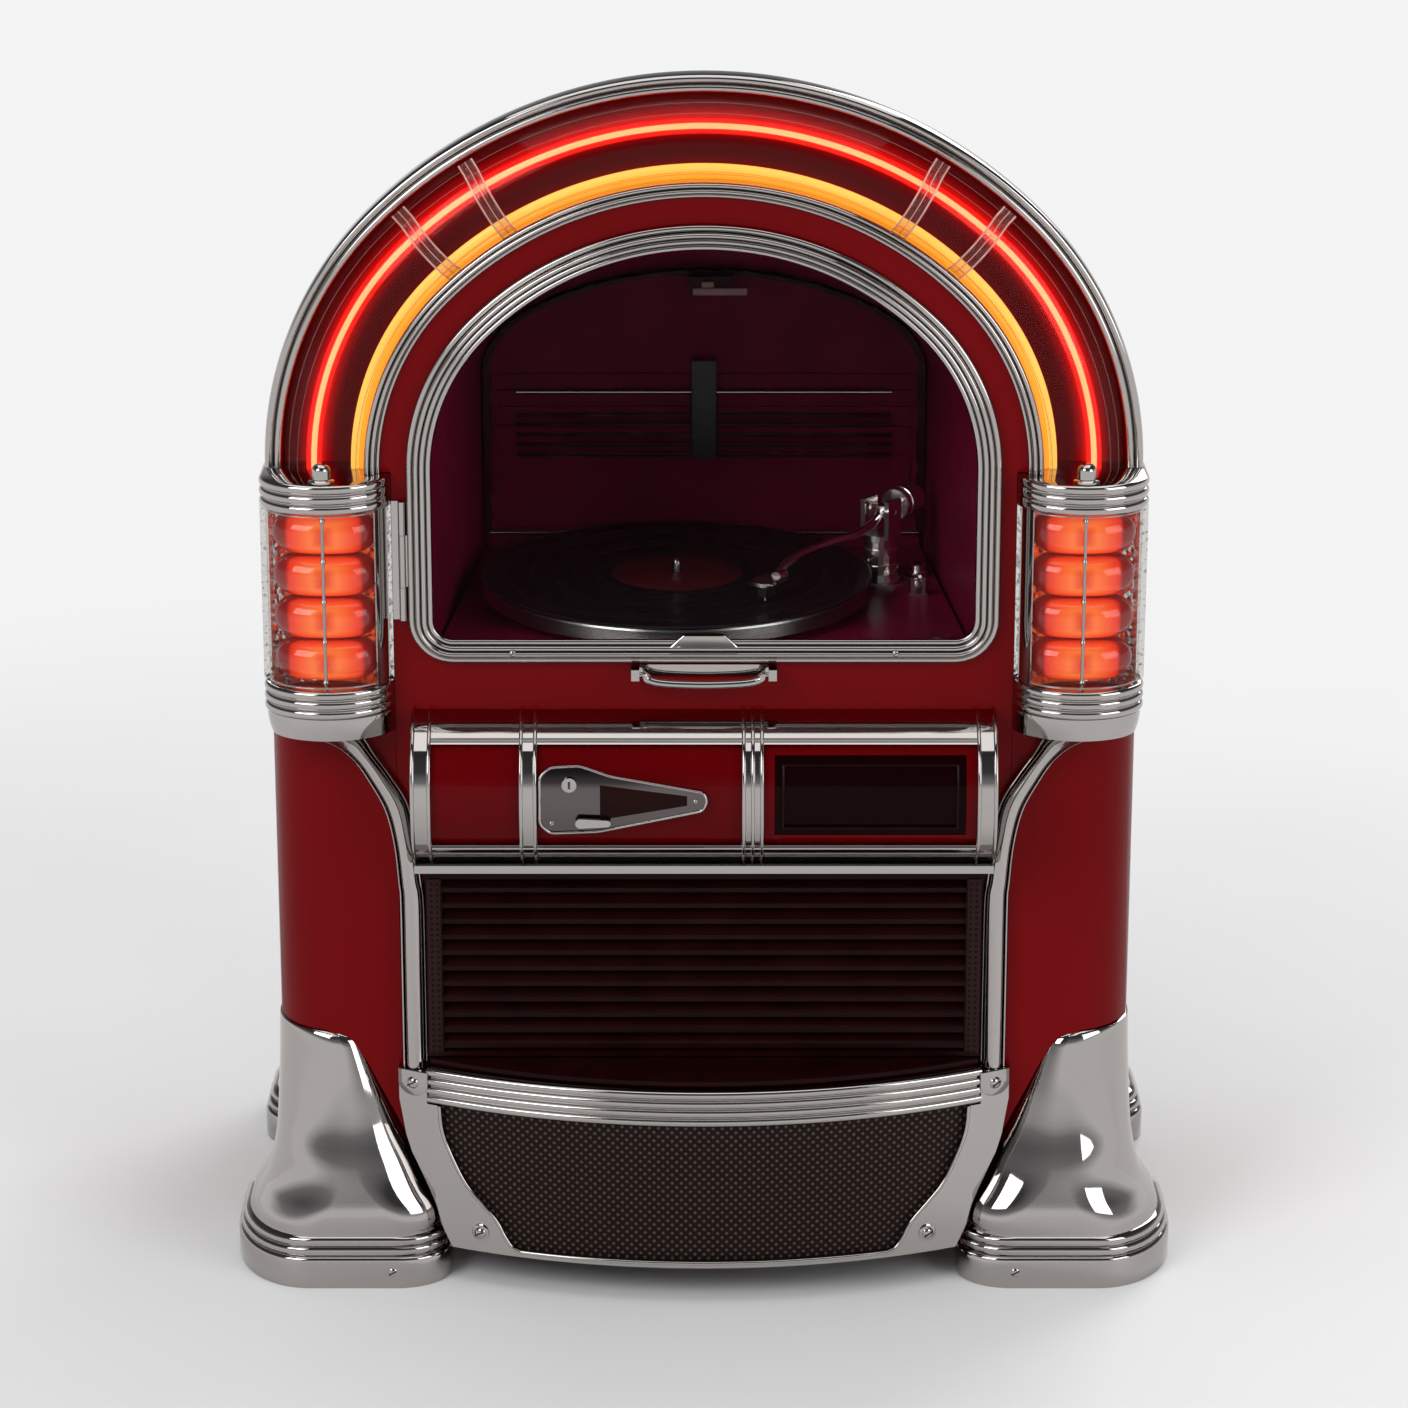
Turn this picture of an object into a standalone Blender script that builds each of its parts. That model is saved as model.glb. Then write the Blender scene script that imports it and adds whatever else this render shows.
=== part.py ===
"""Arch-topped tabletop jukebox with a turntable behind its window.

Metres, +Z up, the front faces -Y. The origin is the middle of the footprint, on the table.
Depths are counted from FRONT_Y, the face of the front panel: negative is towards the viewer.
"""
import math

import bmesh
import bpy
from mathutils import Matrix, Vector

# Clearances and general fineness
GAP = 0.0003
OVERRUN = 0.004
SMOOTH_ANGLE = math.radians(35)
ARC_STEP = math.radians(9)

# Cabinet
FRONT_Y = -0.160
# Widths run outwards from the door, each by a named margin
DOOR_OUTER = 0.2175
DOOR_RAIL = 0.0185
DOOR_INNER = DOOR_OUTER - DOOR_RAIL
DOOR_MARGIN = 0.0112
PANEL_HALF_WIDTH = DOOR_OUTER + DOOR_MARGIN
TRIM_REVEAL = 0.0078
PANEL_UNDERCUT = 0.0045
INNER_TRIM_WIDTH = 0.0115
INNER_TRIM_INNER = PANEL_HALF_WIDTH + TRIM_REVEAL
INNER_TRIM_OUTER = INNER_TRIM_INNER + INNER_TRIM_WIDTH
PANEL_ARCH = INNER_TRIM_INNER + PANEL_UNDERCUT
COVER_WIDTH = 0.0604
COVER_INNER = INNER_TRIM_OUTER + GAP
COVER_OUTER = COVER_INNER + COVER_WIDTH
OUTER_TRIM_WIDTH = 0.013
ARCH_OUTER = COVER_OUTER + GAP + OUTER_TRIM_WIDTH
AMBER_TUBE_INSET = 0.0102
RED_TUBE_INSET = 0.0427
AMBER_TUBE_HALF_WIDTH = COVER_INNER + AMBER_TUBE_INSET
RED_TUBE_HALF_WIDTH = COVER_INNER + RED_TUBE_INSET
COLUMN_HALF_WIDTH = 0.048
COLUMN_X = PANEL_HALF_WIDTH + GAP + COLUMN_HALF_WIDTH
CABINET_HALF_WIDTH = COLUMN_X + COLUMN_HALF_WIDTH
SHELL_INSET = 0.025
SHELL_HALF_WIDTH = CABINET_HALF_WIDTH - SHELL_INSET
CABINET_DEPTH = 0.380
SHELL_WALL = 0.012
SHELL_FRONT = 0.040
SHELL_FLOOR_Z = 0.045
ROOF_DROP_SHARE = 0.40
BACK_THICKNESS = 0.012
PANEL_THICKNESS = 0.010
CORNER_RADIUS = 0.055
CHEEK_FRONT_WALL = 0.012
CHEEK_TOP_Z = 0.4355

# Three-centred arch: the curve at half width a is parallel to the others
SIDE_CENTRE_X = 0.058
SPRING_Z = 0.632
TRAY_THICKNESS = 0.0057
COVER_WALL = 0.003
COVER_BULGE = 0.019
STRIP_HEIGHT = 0.0025
STRIP_WIDTH = 0.009
STRIP_ANGLES = (math.radians(43.5), math.radians(55.5), math.radians(124.5), math.radians(136.5))
RED_TUBE_RADIUS = 0.0055
AMBER_TUBE_RADIUS = 0.0065
TUBE_DEPTH = 0.020

# Lamp columns
COLUMN_FORWARD = 0.038
COLUMN_MID = -0.002
COLLAR_Z = (0.453, 0.475, 0.608, 0.631)
COLLAR_RIB = 0.0018
FLARE_Z = 0.436
FLARE_INSET = 0.005
REFLECTOR_THICKNESS = 0.0027
REFLECTOR_EDGE = 0.006
COVER_GLASS = 0.002
COVER_INSET = 0.004
LAMP_HALF_WIDTH = 0.0385
LAMP_HALF_DEPTH = 0.0225
LAMP_PITCH = 0.032
LAMP_NECK_SHARE = 0.80
ROD_RADIUS = 0.0015
BEAD_RADIUS = 0.0022
NUT_RADIUS = 0.0095

# Feet
FOOT_FLARE = 0.036
FOOT_WIDTH = 0.168
FOOT_TOP_WIDTH = 0.0645
FOOT_TOP_PROUD = 0.0015
FOOT_OUTER = CABINET_HALF_WIDTH + FOOT_FLARE
FOOT_INNER = FOOT_OUTER - FOOT_WIDTH
FOOT_TOP_OUTER = CABINET_HALF_WIDTH + FOOT_TOP_PROUD
FOOT_TOP_INNER = FOOT_TOP_OUTER - FOOT_TOP_WIDTH
FOOT_FORWARD = 0.042
FOOT_LENGTH = 0.150
FOOT_TOP_Z = 0.193
FOOT_TOP_FORWARD = 0.002
FOOT_TOP_LENGTH = 0.075
FOOT_BASE_Z = 0.025
FOOT_RIDGE_Z = 0.042
FOOT_RIDGE_INSET = 0.005
FOOT_WALL = 0.007
FOOT_CLEARANCE = 2 * GAP

# Door and window
DOOR_PROUD = 0.011
DOOR_REBATE = 0.0043
DOOR_BOTTOM_Z = 0.487
DOOR_CORNER = 0.033
GLASS_THICKNESS = 0.004
OPENING_OVERLAP = 0.012
HINGE_REACH = 0.0037
HINGE_X = DOOR_OUTER + HINGE_REACH
HINGE_FORWARD = 0.0042
HINGE_RADIUS = 0.0028
HINGE_PIN_RADIUS = 0.0012
HINGE_Z = (0.520, 0.545, 0.585, 0.610)
LATCH_HALF_WIDTH = 0.025
LATCH_HEIGHT = 0.009
HANDLE_HALF_WIDTH = 0.044
HANDLE_Z = 0.481
HANDLE_DROP = 0.008
HANDLE_RADIUS = 0.0030
HANDLE_FORWARD = 0.014
LUG_THICKNESS = 0.006
PLATE_THICKNESS = 0.002

# Selector console, a half cylinder lying across the front
SELECTOR_MARGIN = 0.0127
SELECTOR_HALF_LENGTH = PANEL_HALF_WIDTH - SELECTOR_MARGIN
SELECTOR_Z = 0.391
SELECTOR_HALF_HEIGHT = 0.059
SELECTOR_BULGE = 0.052
FRAME_WALL = 0.004
SELECTOR_WALL = 0.0035
END_BAND = 0.015
band_edge_shares = (-0.6296, -0.5694, 0.1296, 0.2037)
BAND_EDGES = tuple(SELECTOR_HALF_LENGTH * share for share in band_edge_shares)
APERTURE_Z = (0.358, 0.434)
DISPLAY_BORDER = 0.008
LIP_HEIGHT = 0.006
LIP_FORWARD = 0.034
LIP_RAISE = 0.0036
ESCUTCHEON_RISE = 0.0012
LOCK_PLACE = (-0.099, 0.408)
LOCK_RADIUS = 0.0055
LEVER_PLACE = (-0.091, 0.3795)
LEVER_PIN_RADIUS = 0.002
LEVER_LENGTH = 0.020

# Grilles and lower front
MOULDING_WIDTH = 0.0194
MOULDING_REACH = 0.0025
MOULDING_X = SELECTOR_HALF_LENGTH + MOULDING_REACH
LOUVRE_HALF_WIDTH = MOULDING_X - MOULDING_WIDTH / 2 - GAP
LOUVRE_Z = (0.178, 0.3235)
LOUVRE_PITCH = 0.0125
LOUVRE_DEPTH = 0.011
LOUVRE_STILE = 0.012
SLAT_THICKNESS = 0.0035
SHELF_Z = 0.1730
BOW_MARGIN = 0.0033
BOW_HALF_CHORD = PANEL_HALF_WIDTH + BOW_MARGIN
BAND_END = 0.0242
BAND_HALF_WIDTH = BOW_HALF_CHORD - BAND_END
APRON_END = 0.0005
APRON_RAIL = 0.0323
APRON_TOP_OUTER = BOW_HALF_CHORD - APRON_END
APRON_TOP_INNER = APRON_TOP_OUTER - APRON_RAIL
BOW_RISE = 0.060
BOW_BACK = 0.004
BAND_Z = (0.1425, 0.1715)
BAND_DEPTH = 0.008
MESH_THICKNESS = 0.003
APRON_THICKNESS = 0.006
APRON_Z = (0.028, 0.168)
APRON_BOTTOM_OUTER = 0.192
APRON_BOTTOM_INNER = 0.1384
MOULDING_DEPTH = 0.014
MOULDING_FOOT_Z = 0.1688
MOULDING_BEND_Z = 0.300

# Record compartment and turntable
DECK_SHELF_Z = (0.440, 0.452)
COMPARTMENT_BACK = 0.330
COMPARTMENT_BACK_RISE_SHARE = 0.57
LINER_WALL = 0.003
LINER_INSET = 0.0125
LINER_TAPER = 0.028
LINER_FRONT = DOOR_OUTER - LINER_INSET
COMPARTMENT_BACK_HALF_WIDTH = LINER_FRONT - LINER_TAPER
REAR_WALL_THICKNESS = 0.006
PLINTH_TOP_Z = 0.487
PLINTH_SIDE_CLEARANCE = 0.004
PLINTH_LEDGE_HEIGHT = 0.012
PLINTH_LEDGE_DEPTH = 0.008
PLATTER_X = -0.021
PLATTER_DEPTH = 0.165
PLATTER_RADIUS = 0.149
PLATTER_Z = (0.4905, 0.5065)
SPINDLE_RADIUS = 0.0036
SPINDLE_TOP_Z = 0.520
SHAFT_RADIUS = 0.005
MOTOR_RADIUS = 0.040
MOTOR_HEIGHT = 0.024
RECORD_RADIUS = 0.1508
RECORD_THICKNESS = 0.0022
ARM_X = 0.138
ARM_DEPTH = 0.215
ARM_Z = 0.545
ARM_BASE_RADIUS = 0.022
ARM_PILLAR_RADIUS = 0.013
ARM_PILLAR_Z = 0.522
STYLUS_X = 0.044
STYLUS_DEPTH = 0.080
ARM_TUBE_RADIUS = 0.0032
ARM_TUBE_SWAY = 0.011
YOKE_GAP = 0.018
YOKE_WALL = 0.004
PIVOT_RADIUS = 0.002
WEIGHT_RADIUS = 0.013
WEIGHT_LENGTH = 0.026
SHELL_LENGTH = 0.026
SHELL_WIDTH = 0.015
BUTTON_X = 0.178
BUTTON_DEPTH = 0.055
BUTTON_RADIUS = 0.008
BUTTON_RISE = 0.004
CUE_DEPTH = 0.172
CUE_X = 0.166
CUE_RADIUS = 0.0014
CUE_LENGTH = 0.026

# Inside and behind
WOOFER_Z = 0.248
WOOFER_RADIUS = 0.090
WOOFER_OPENING = 0.0632
WOOFER_DEPTH = 0.085
AMPLIFIER_SIZE = (0.200, 0.120, 0.060)
INLET_SIZE = (0.050, 0.028)
INLET_PLACE = (0.200, 0.110)
INLET_DEPTH = 0.020
VENT_COUNT = 6
VENT_SIZE = (0.160, 0.006)
VENT_Z = 0.300
VENT_PITCH = 0.016

# Flat drawings stand in one of these planes: across and up, seen from the front, the top or the side
FRONT = Matrix(((1, 0, 0, 0), (0, 0, -1, 0), (0, 1, 0, 0), (0, 0, 0, 1)))
TOP = Matrix.Identity(4)
SIDE = Matrix(((0, 0, 1, 0), (1, 0, 0, 0), (0, 1, 0, 0), (0, 0, 0, 1)))

CHROME = dict(colour=(0.72, 0.68, 0.66), roughness=0.12, metallic=1.0)
LACQUER = dict(colour=(0.17, 0.004, 0.008), roughness=0.18, metallic=0.0)
DARK = dict(colour=(0.030, 0.008, 0.008), roughness=0.45, metallic=0.0)
CLEAR = dict(colour=(0.9, 0.55, 0.5), roughness=0.05, metallic=0.0, alpha=0.35)
STEEL = dict(colour=(0.35, 0.34, 0.33), roughness=0.4, metallic=1.0)
BURGUNDY = dict(colour=(0.060, 0.012, 0.018), roughness=0.35, metallic=0.0)
BLACK = dict(colour=(0.012, 0.011, 0.012), roughness=0.35, metallic=0.0)
RED_GLOW = dict(colour=(0.9, 0.05, 0.03), roughness=0.3, metallic=0.0, glow=3.0)
AMBER_GLOW = dict(colour=(0.85, 0.30, 0.03), roughness=0.3, metallic=0.0, glow=2.0)
LAMP_GLOW = dict(colour=(1.0, 0.16, 0.03), roughness=0.3, metallic=0.0, glow=2.0)


def collection(name):
    made = bpy.data.collections.new(name)
    bpy.context.scene.collection.children.link(made)
    return made


for old in list(bpy.data.objects):
    bpy.data.objects.remove(old)
JUKEBOX = collection("jukebox")
CUTTERS = collection("cutters")


def material(name, colour, roughness, metallic, alpha=1.0, glow=0.0):
    made = bpy.data.materials.new(name)
    made.use_nodes = True
    shader = made.node_tree.nodes["Principled BSDF"]
    shader.inputs["Base Color"].default_value = (*colour, 1.0)
    shader.inputs["Roughness"].default_value = roughness
    shader.inputs["Metallic"].default_value = metallic
    shader.inputs["Alpha"].default_value = alpha
    shader.inputs["Emission Color"].default_value = (*colour, 1.0)
    shader.inputs["Emission Strength"].default_value = glow
    made.diffuse_color = (*colour, alpha)
    return made


def closed_mesh(mesh):
    """Weld a mesh and turn its faces outwards."""
    work = bmesh.new()
    work.from_mesh(mesh)
    bmesh.ops.remove_doubles(work, verts=work.verts, dist=GAP / 30)
    bmesh.ops.recalc_face_normals(work, faces=work.faces)
    work.to_mesh(mesh)
    work.free()
    return mesh


def evaluated_mesh(thing):
    """The mesh that a curve or a modified object comes to, with the object removed."""
    bpy.context.view_layer.update()
    graph = bpy.context.evaluated_depsgraph_get()
    mesh = bpy.data.meshes.new_from_object(thing.evaluated_get(graph))
    mesh.transform(thing.matrix_world)
    bpy.data.objects.remove(thing)
    return closed_mesh(mesh)


def piece(name, mesh, finish, pivot=(0, 0, 0)):
    """A visible sub-part, with its origin on the pivot that it turns or slides about."""
    mesh.transform(Matrix.Translation(-Vector(pivot)))
    mesh.shade_smooth()
    mesh.set_sharp_from_angle(angle=SMOOTH_ANGLE)
    mesh.materials.clear()
    mesh.materials.append(material(name + "_finish", **finish))
    made = bpy.data.objects.new(name, mesh)
    made.location = pivot
    JUKEBOX.objects.link(made)
    return made


def combine(target, mesh, operation, label):
    """Cut from, or join to, a piece with a hidden tool object."""
    tool = bpy.data.objects.new(target.name + "_" + label, mesh)
    tool.hide_render = True
    tool.display_type = "WIRE"
    CUTTERS.objects.link(tool)
    step = target.modifiers.new(label, "BOOLEAN")
    step.operation = operation
    step.solver = "EXACT"
    step.object = tool
    return target


def cut(target, mesh, label):
    return combine(target, mesh, "DIFFERENCE", label)


def join(target, mesh, label):
    return combine(target, mesh, "UNION", label)


def flat_curve(points, cyclic):
    data = bpy.data.curves.new("drawing", "CURVE")
    data.dimensions = "2D"
    spline = data.splines.new("POLY")
    spline.points.add(len(points) - 1)
    for place, (across, up) in zip(spline.points, points):
        place.co = (across, up, 0, 1)
    spline.use_cyclic_u = cyclic
    made = bpy.data.objects.new("drawing", data)
    bpy.context.scene.collection.objects.link(made)
    return made


def plate(loops, low, high, plane):
    """Closed outlines, the later ones holes, extruded from low to high along the plane's normal."""
    drawing = flat_curve(loops[0], True)
    for loop in loops[1:]:
        spline = drawing.data.splines.new("POLY")
        spline.points.add(len(loop) - 1)
        for place, (across, up) in zip(spline.points, loop):
            place.co = (across, up, 0, 1)
        spline.use_cyclic_u = True
    drawing.data.fill_mode = "BOTH"
    drawing.data.extrude = (high - low) / 2
    drawing.matrix_world = plane @ Matrix.Translation((0, 0, (low + high) / 2))
    return evaluated_mesh(drawing)


def front_plate(loops, front, back):
    """An outline seen from the front, between two depths behind the front panel's face."""
    return plate(loops, -(FRONT_Y + back), -(FRONT_Y + front), FRONT)


def sweep(path, profile, plane, offset=0.0, cyclic=False):
    """A closed profile carried along a flat path; its first coordinate is to the right of travel."""
    section = flat_curve(profile, True)
    rail = flat_curve(path, cyclic)
    rail.data.fill_mode = "BOTH"
    rail.data.bevel_mode = "OBJECT"
    rail.data.bevel_object = section
    rail.data.use_fill_caps = not cyclic
    rail.matrix_world = plane @ Matrix.Translation((0, 0, offset))
    mesh = evaluated_mesh(rail)
    bpy.data.objects.remove(section)
    return mesh


def tube(points, radius, rings=2):
    """A round bar along points in space."""
    data = bpy.data.curves.new("bar", "CURVE")
    data.dimensions = "3D"
    spline = data.splines.new("POLY")
    spline.points.add(len(points) - 1)
    for place, point in zip(spline.points, points):
        place.co = (*point, 1)
    data.bevel_depth = radius
    data.bevel_resolution = rings
    data.use_fill_caps = True
    made = bpy.data.objects.new("bar", data)
    bpy.context.scene.collection.objects.link(made)
    return evaluated_mesh(made)


def turned(profile, steps=24, matrix=Matrix.Identity(4)):
    """A profile of (radius, height) points turned about Z, then placed."""
    mesh = bpy.data.meshes.new("profile")
    points = [(radius, 0, height) for radius, height in profile]
    mesh.from_pydata(points, [(i, i + 1) for i in range(len(points) - 1)], [])
    blank = bpy.data.objects.new("profile", mesh)
    bpy.context.scene.collection.objects.link(blank)
    screw = blank.modifiers.new("turn", "SCREW")
    screw.steps = steps
    screw.render_steps = steps
    screw.use_merge_vertices = True
    screw.merge_threshold = GAP / 30
    blank.matrix_world = matrix
    return evaluated_mesh(blank)


def ring_profile(profile):
    """The same profile closed on itself, for a turned ring."""
    return list(profile) + [profile[0]]


def loft(sections, cyclic=False):
    """Closed loops of equal count joined in order; the ends are capped, or joined if cyclic."""
    work = bmesh.new()
    loops = [[work.verts.new(point) for point in section] for section in sections]
    pairs = list(zip(loops, loops[1:] + (loops[:1] if cyclic else [])))
    for one, two in pairs[:len(loops) if cyclic else len(loops) - 1]:
        count = len(one)
        for i in range(count):
            work.faces.new((one[i], one[(i + 1) % count], two[(i + 1) % count], two[i]))
    if not cyclic:
        work.faces.new(loops[0])
        work.faces.new(loops[-1])
    bmesh.ops.recalc_face_normals(work, faces=work.faces)
    mesh = bpy.data.meshes.new("loft")
    work.to_mesh(mesh)
    work.free()
    return mesh


def box(low, high):
    """A box between two corners, from a unit cube."""
    work = bmesh.new()
    bmesh.ops.create_cube(work, size=1)
    for vert in work.verts:
        vert.co = [lo + (c + 0.5) * (hi - lo) for c, lo, hi in zip(vert.co, low, high)]
    mesh = bpy.data.meshes.new("box")
    work.to_mesh(mesh)
    work.free()
    return mesh


def front_box(x, depth, z):
    """A box from ranges across, in depth behind the front panel's face, and up."""
    return box((x[0], FRONT_Y + depth[0], z[0]), (x[1], FRONT_Y + depth[1], z[1]))


def merged(meshes):
    """Several meshes as one, left as separate bodies."""
    work = bmesh.new()
    for mesh in meshes:
        work.from_mesh(mesh)
    made = bpy.data.meshes.new("group")
    work.to_mesh(made)
    work.free()
    return made


def rod(radius, low, high, axis, sides=16, at=(0, 0, 0)):
    """A cylinder along an axis, from low to high measured from a place."""
    turn = {"X": Matrix.Rotation(math.pi / 2, 4, "Y"), "Y": Matrix.Rotation(-math.pi / 2, 4, "X")}
    work = bmesh.new()
    bmesh.ops.create_cone(work, cap_ends=True, segments=sides,
                          radius1=radius, radius2=radius, depth=high - low)
    mesh = bpy.data.meshes.new("rod")
    bmesh.ops.translate(work, verts=work.verts, vec=(0, 0, (low + high) / 2))
    work.to_mesh(mesh)
    work.free()
    mesh.transform(Matrix.Translation(at) @ turn.get(axis, Matrix.Identity(4)))
    return mesh


def mirrored(mesh):
    copy = mesh.copy()
    copy.transform(Matrix.Scale(-1, 4, (1, 0, 0)))
    copy.flip_normals()
    return copy


def arc(centre, radius, start, end, steps):
    """Points on an arc, both ends included."""
    turns = [start + (end - start) * i / steps for i in range(steps + 1)]
    return [(centre[0] + radius * math.cos(t), centre[1] + radius * math.sin(t)) for t in turns]


def arch(half_width, foot_z, rise_share=1.0):
    """The three-centred arch at one half width, from the left foot over the top to the right foot."""
    side = half_width - SIDE_CENTRE_X
    top = side + SIDE_CENTRE_X * math.sqrt(2)
    quarter = math.pi / 4
    side_steps = round(quarter / ARC_STEP)
    left = arc((-SIDE_CENTRE_X, SPRING_Z), side, 4 * quarter, 3 * quarter, side_steps)
    crown = arc((0, SPRING_Z - SIDE_CENTRE_X), top, 3 * quarter, quarter, 2 * side_steps)
    right = [(-x, z) for x, z in reversed(left)]
    over = left + crown[1:-1] + right
    over = [(x, SPRING_Z + (z - SPRING_Z) * rise_share) for x, z in over]
    return [(-half_width, foot_z)] + over + [(half_width, foot_z)]


def window(half_width, bottom_z, corner):
    """The window's outline: the arch closed by a straight bottom with round corners."""
    steps = 4
    right = arc((half_width - corner, bottom_z + corner), corner, 0, -math.pi / 2, steps)
    left = arc((corner - half_width, bottom_z + corner), corner, -math.pi / 2, -math.pi, steps)
    return arch(half_width, bottom_z + corner)[:-1] + right + left[:-1]


def circle(centre, radius, sides=24):
    return arc(centre, radius, 0, 2 * math.pi, sides)[:-1]


def rectangle(x, z):
    return [(x[0], z[0]), (x[1], z[0]), (x[1], z[1]), (x[0], z[1])]


def at_depth(section, depth):
    return [(x, FRONT_Y + depth, z) for x, z in section]


def arch_sweep(profile, foot_z):
    """A profile of (half width, depth) points swept along the arch."""
    middle = sum(a for a, _ in profile) / len(profile)
    drawn = [(middle - a, -depth) for a, depth in profile]
    return sweep(arch(middle, foot_z), drawn, FRONT, offset=-FRONT_Y)


def corner_drop(x):
    """How far the rounded front corner falls behind the front face at one place across."""
    over = min(max(abs(x) - (CABINET_HALF_WIDTH - CORNER_RADIUS), 0), CORNER_RADIUS)
    return CORNER_RADIUS - math.sqrt(CORNER_RADIUS ** 2 - over ** 2)


def cabinet_shell():
    back = CABINET_DEPTH - BACK_THICKNESS - GAP
    station_shares = [0, 0.5, 1]
    sections = {"outer": [], "inner": []}
    for share in station_shares:
        depth = SHELL_FRONT + (back - SHELL_FRONT) * share
        rise = 1 - ROOF_DROP_SHARE * share ** 1.3
        sections["outer"].append(at_depth(arch(SHELL_HALF_WIDTH, SHELL_FLOOR_Z, rise), depth))
        inner = arch(SHELL_HALF_WIDTH - SHELL_WALL, SHELL_FLOOR_Z + SHELL_WALL, rise)
        sections["inner"].append(at_depth(inner, depth))
    mesh = loft(sections["outer"] + sections["inner"][::-1], cyclic=True)
    shell = piece("cabinet_shell", mesh, LACQUER)
    for side in (-1, 1):
        cut(shell, foot_blank(side, 1, FOOT_CLEARANCE), "foot_%d" % (side + 1))
        cut(shell, foot_blank(side, -1, FOOT_CLEARANCE), "rear_foot_%d" % (side + 1))


def deck_shelf():
    half = SHELL_HALF_WIDTH - SHELL_WALL - GAP
    depth = (PANEL_THICKNESS + GAP, CABINET_DEPTH - BACK_THICKNESS - 2 * GAP)
    shelf = piece("turntable_shelf", front_box((-half, half), depth, DECK_SHELF_Z), DARK)
    front = SHELL_FRONT + GAP
    for side in (-1, 1):
        edge = sorted((side * (PANEL_HALF_WIDTH - GAP), side * (half + OVERRUN)))
        cut(shelf, front_box(edge, (-OVERRUN, front), (0, SPRING_Z)), "corner_%d" % (side + 1))


def front_panel():
    bottom = APRON_Z[0] + APRON_THICKNESS
    collar = COLLAR_Z[3] + GAP
    port_half, port_top = APRON_BOTTOM_INNER, BAND_Z[0] - BAND_DEPTH * 2
    half = PANEL_HALF_WIDTH
    side = [(half, collar), (half, bottom), (port_half, bottom), (port_half, port_top)]
    outline = [(-x, z) for x, z in reversed(side)] + arch(PANEL_ARCH, collar) + side
    inset = OPENING_OVERLAP
    opening = window(DOOR_OUTER - inset, DOOR_BOTTOM_Z + inset, DOOR_CORNER - inset)
    hole = (-WOOFER_OPENING, WOOFER_OPENING)
    sound = rectangle(hole, (WOOFER_Z + hole[0], WOOFER_Z + hole[1]))
    loops = [outline, opening[::-1], sound[::-1]]
    panel = piece("front_panel", front_plate(loops, 0, PANEL_THICKNESS), LACQUER)
    for side in (-1, 1):
        cut(panel, foot_blank(side, 1, FOOT_CLEARANCE), "foot_%d" % (side + 1))


def cheek_mesh(grow=0.0):
    """Plan of the right cheek: a front wrap, a round corner and a straight side, extruded upwards."""
    outer, radius = CABINET_HALF_WIDTH, CORNER_RADIUS
    inner = SHELL_HALF_WIDTH + GAP
    start = PANEL_HALF_WIDTH + GAP
    centre = (outer - radius, FRONT_Y + radius)
    turn = arc(centre, radius + grow, -math.pi / 2, 0, 6)
    back_y = FRONT_Y + CABINET_DEPTH - BACK_THICKNESS - GAP
    inside = arc(centre, radius - CHEEK_FRONT_WALL, 0, -math.pi / 2, 4)
    inside = [(min(x, inner), y) for x, y in inside]
    inside[0] = (inner, inside[0][1])
    outline = [(start - 2 * grow, FRONT_Y - grow)] + turn
    outline += [(outer + grow, back_y), (inner, back_y)] + inside
    outline += [(start - 2 * grow, FRONT_Y + CHEEK_FRONT_WALL)]
    return plate([outline], SHELL_FLOOR_Z, CHEEK_TOP_Z + grow, TOP)


def cheeks():
    for side, name in ((-1, "left_cheek"), (1, "right_cheek")):
        mesh = cheek_mesh()
        cheek = piece(name, mirrored(mesh) if side < 0 else mesh, LACQUER)
        cut(cheek, foot_blank(side, 1, FOOT_CLEARANCE), "foot")
        cut(cheek, foot_blank(side, -1, FOOT_CLEARANCE), "rear_foot")


def back_panel():
    depth = (CABINET_DEPTH - BACK_THICKNESS, CABINET_DEPTH)
    loop = arch(SHELL_HALF_WIDTH, SHELL_FLOOR_Z, 1 - ROOF_DROP_SHARE)
    across, up = VENT_SIZE
    slots = [rectangle((-across / 2, across / 2), (VENT_Z + i * VENT_PITCH, VENT_Z + i * VENT_PITCH + up))
             for i in range(VENT_COUNT)]
    x, z = INLET_PLACE
    half_x, half_z = INLET_SIZE[0] / 2, INLET_SIZE[1] / 2
    slots.append(rectangle((x - half_x, x + half_x), (z - half_z, z + half_z)))
    panel = piece("back_panel", front_plate([loop] + [s[::-1] for s in slots], *depth), DARK)
    for side in (-1, 1):
        cut(panel, foot_blank(side, -1, FOOT_CLEARANCE), "rear_foot_%d" % (side + 1))


def power_inlet():
    x, z = INLET_PLACE
    half_x, half_z = INLET_SIZE[0] / 2 - GAP, INLET_SIZE[1] / 2 - GAP
    back = CABINET_DEPTH
    body = front_box((x - half_x, x + half_x), (back - INLET_DEPTH, back), (z - half_z, z + half_z))
    inlet = piece("power_inlet", body, BLACK)
    mouth = INLET_SIZE[1] / 4
    across, depth = half_x / 2 + mouth, (back - INLET_DEPTH / 2, back + OVERRUN)
    cut(inlet, front_box((x - across, x + across), depth, (z - mouth, z + mouth)), "socket")


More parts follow.
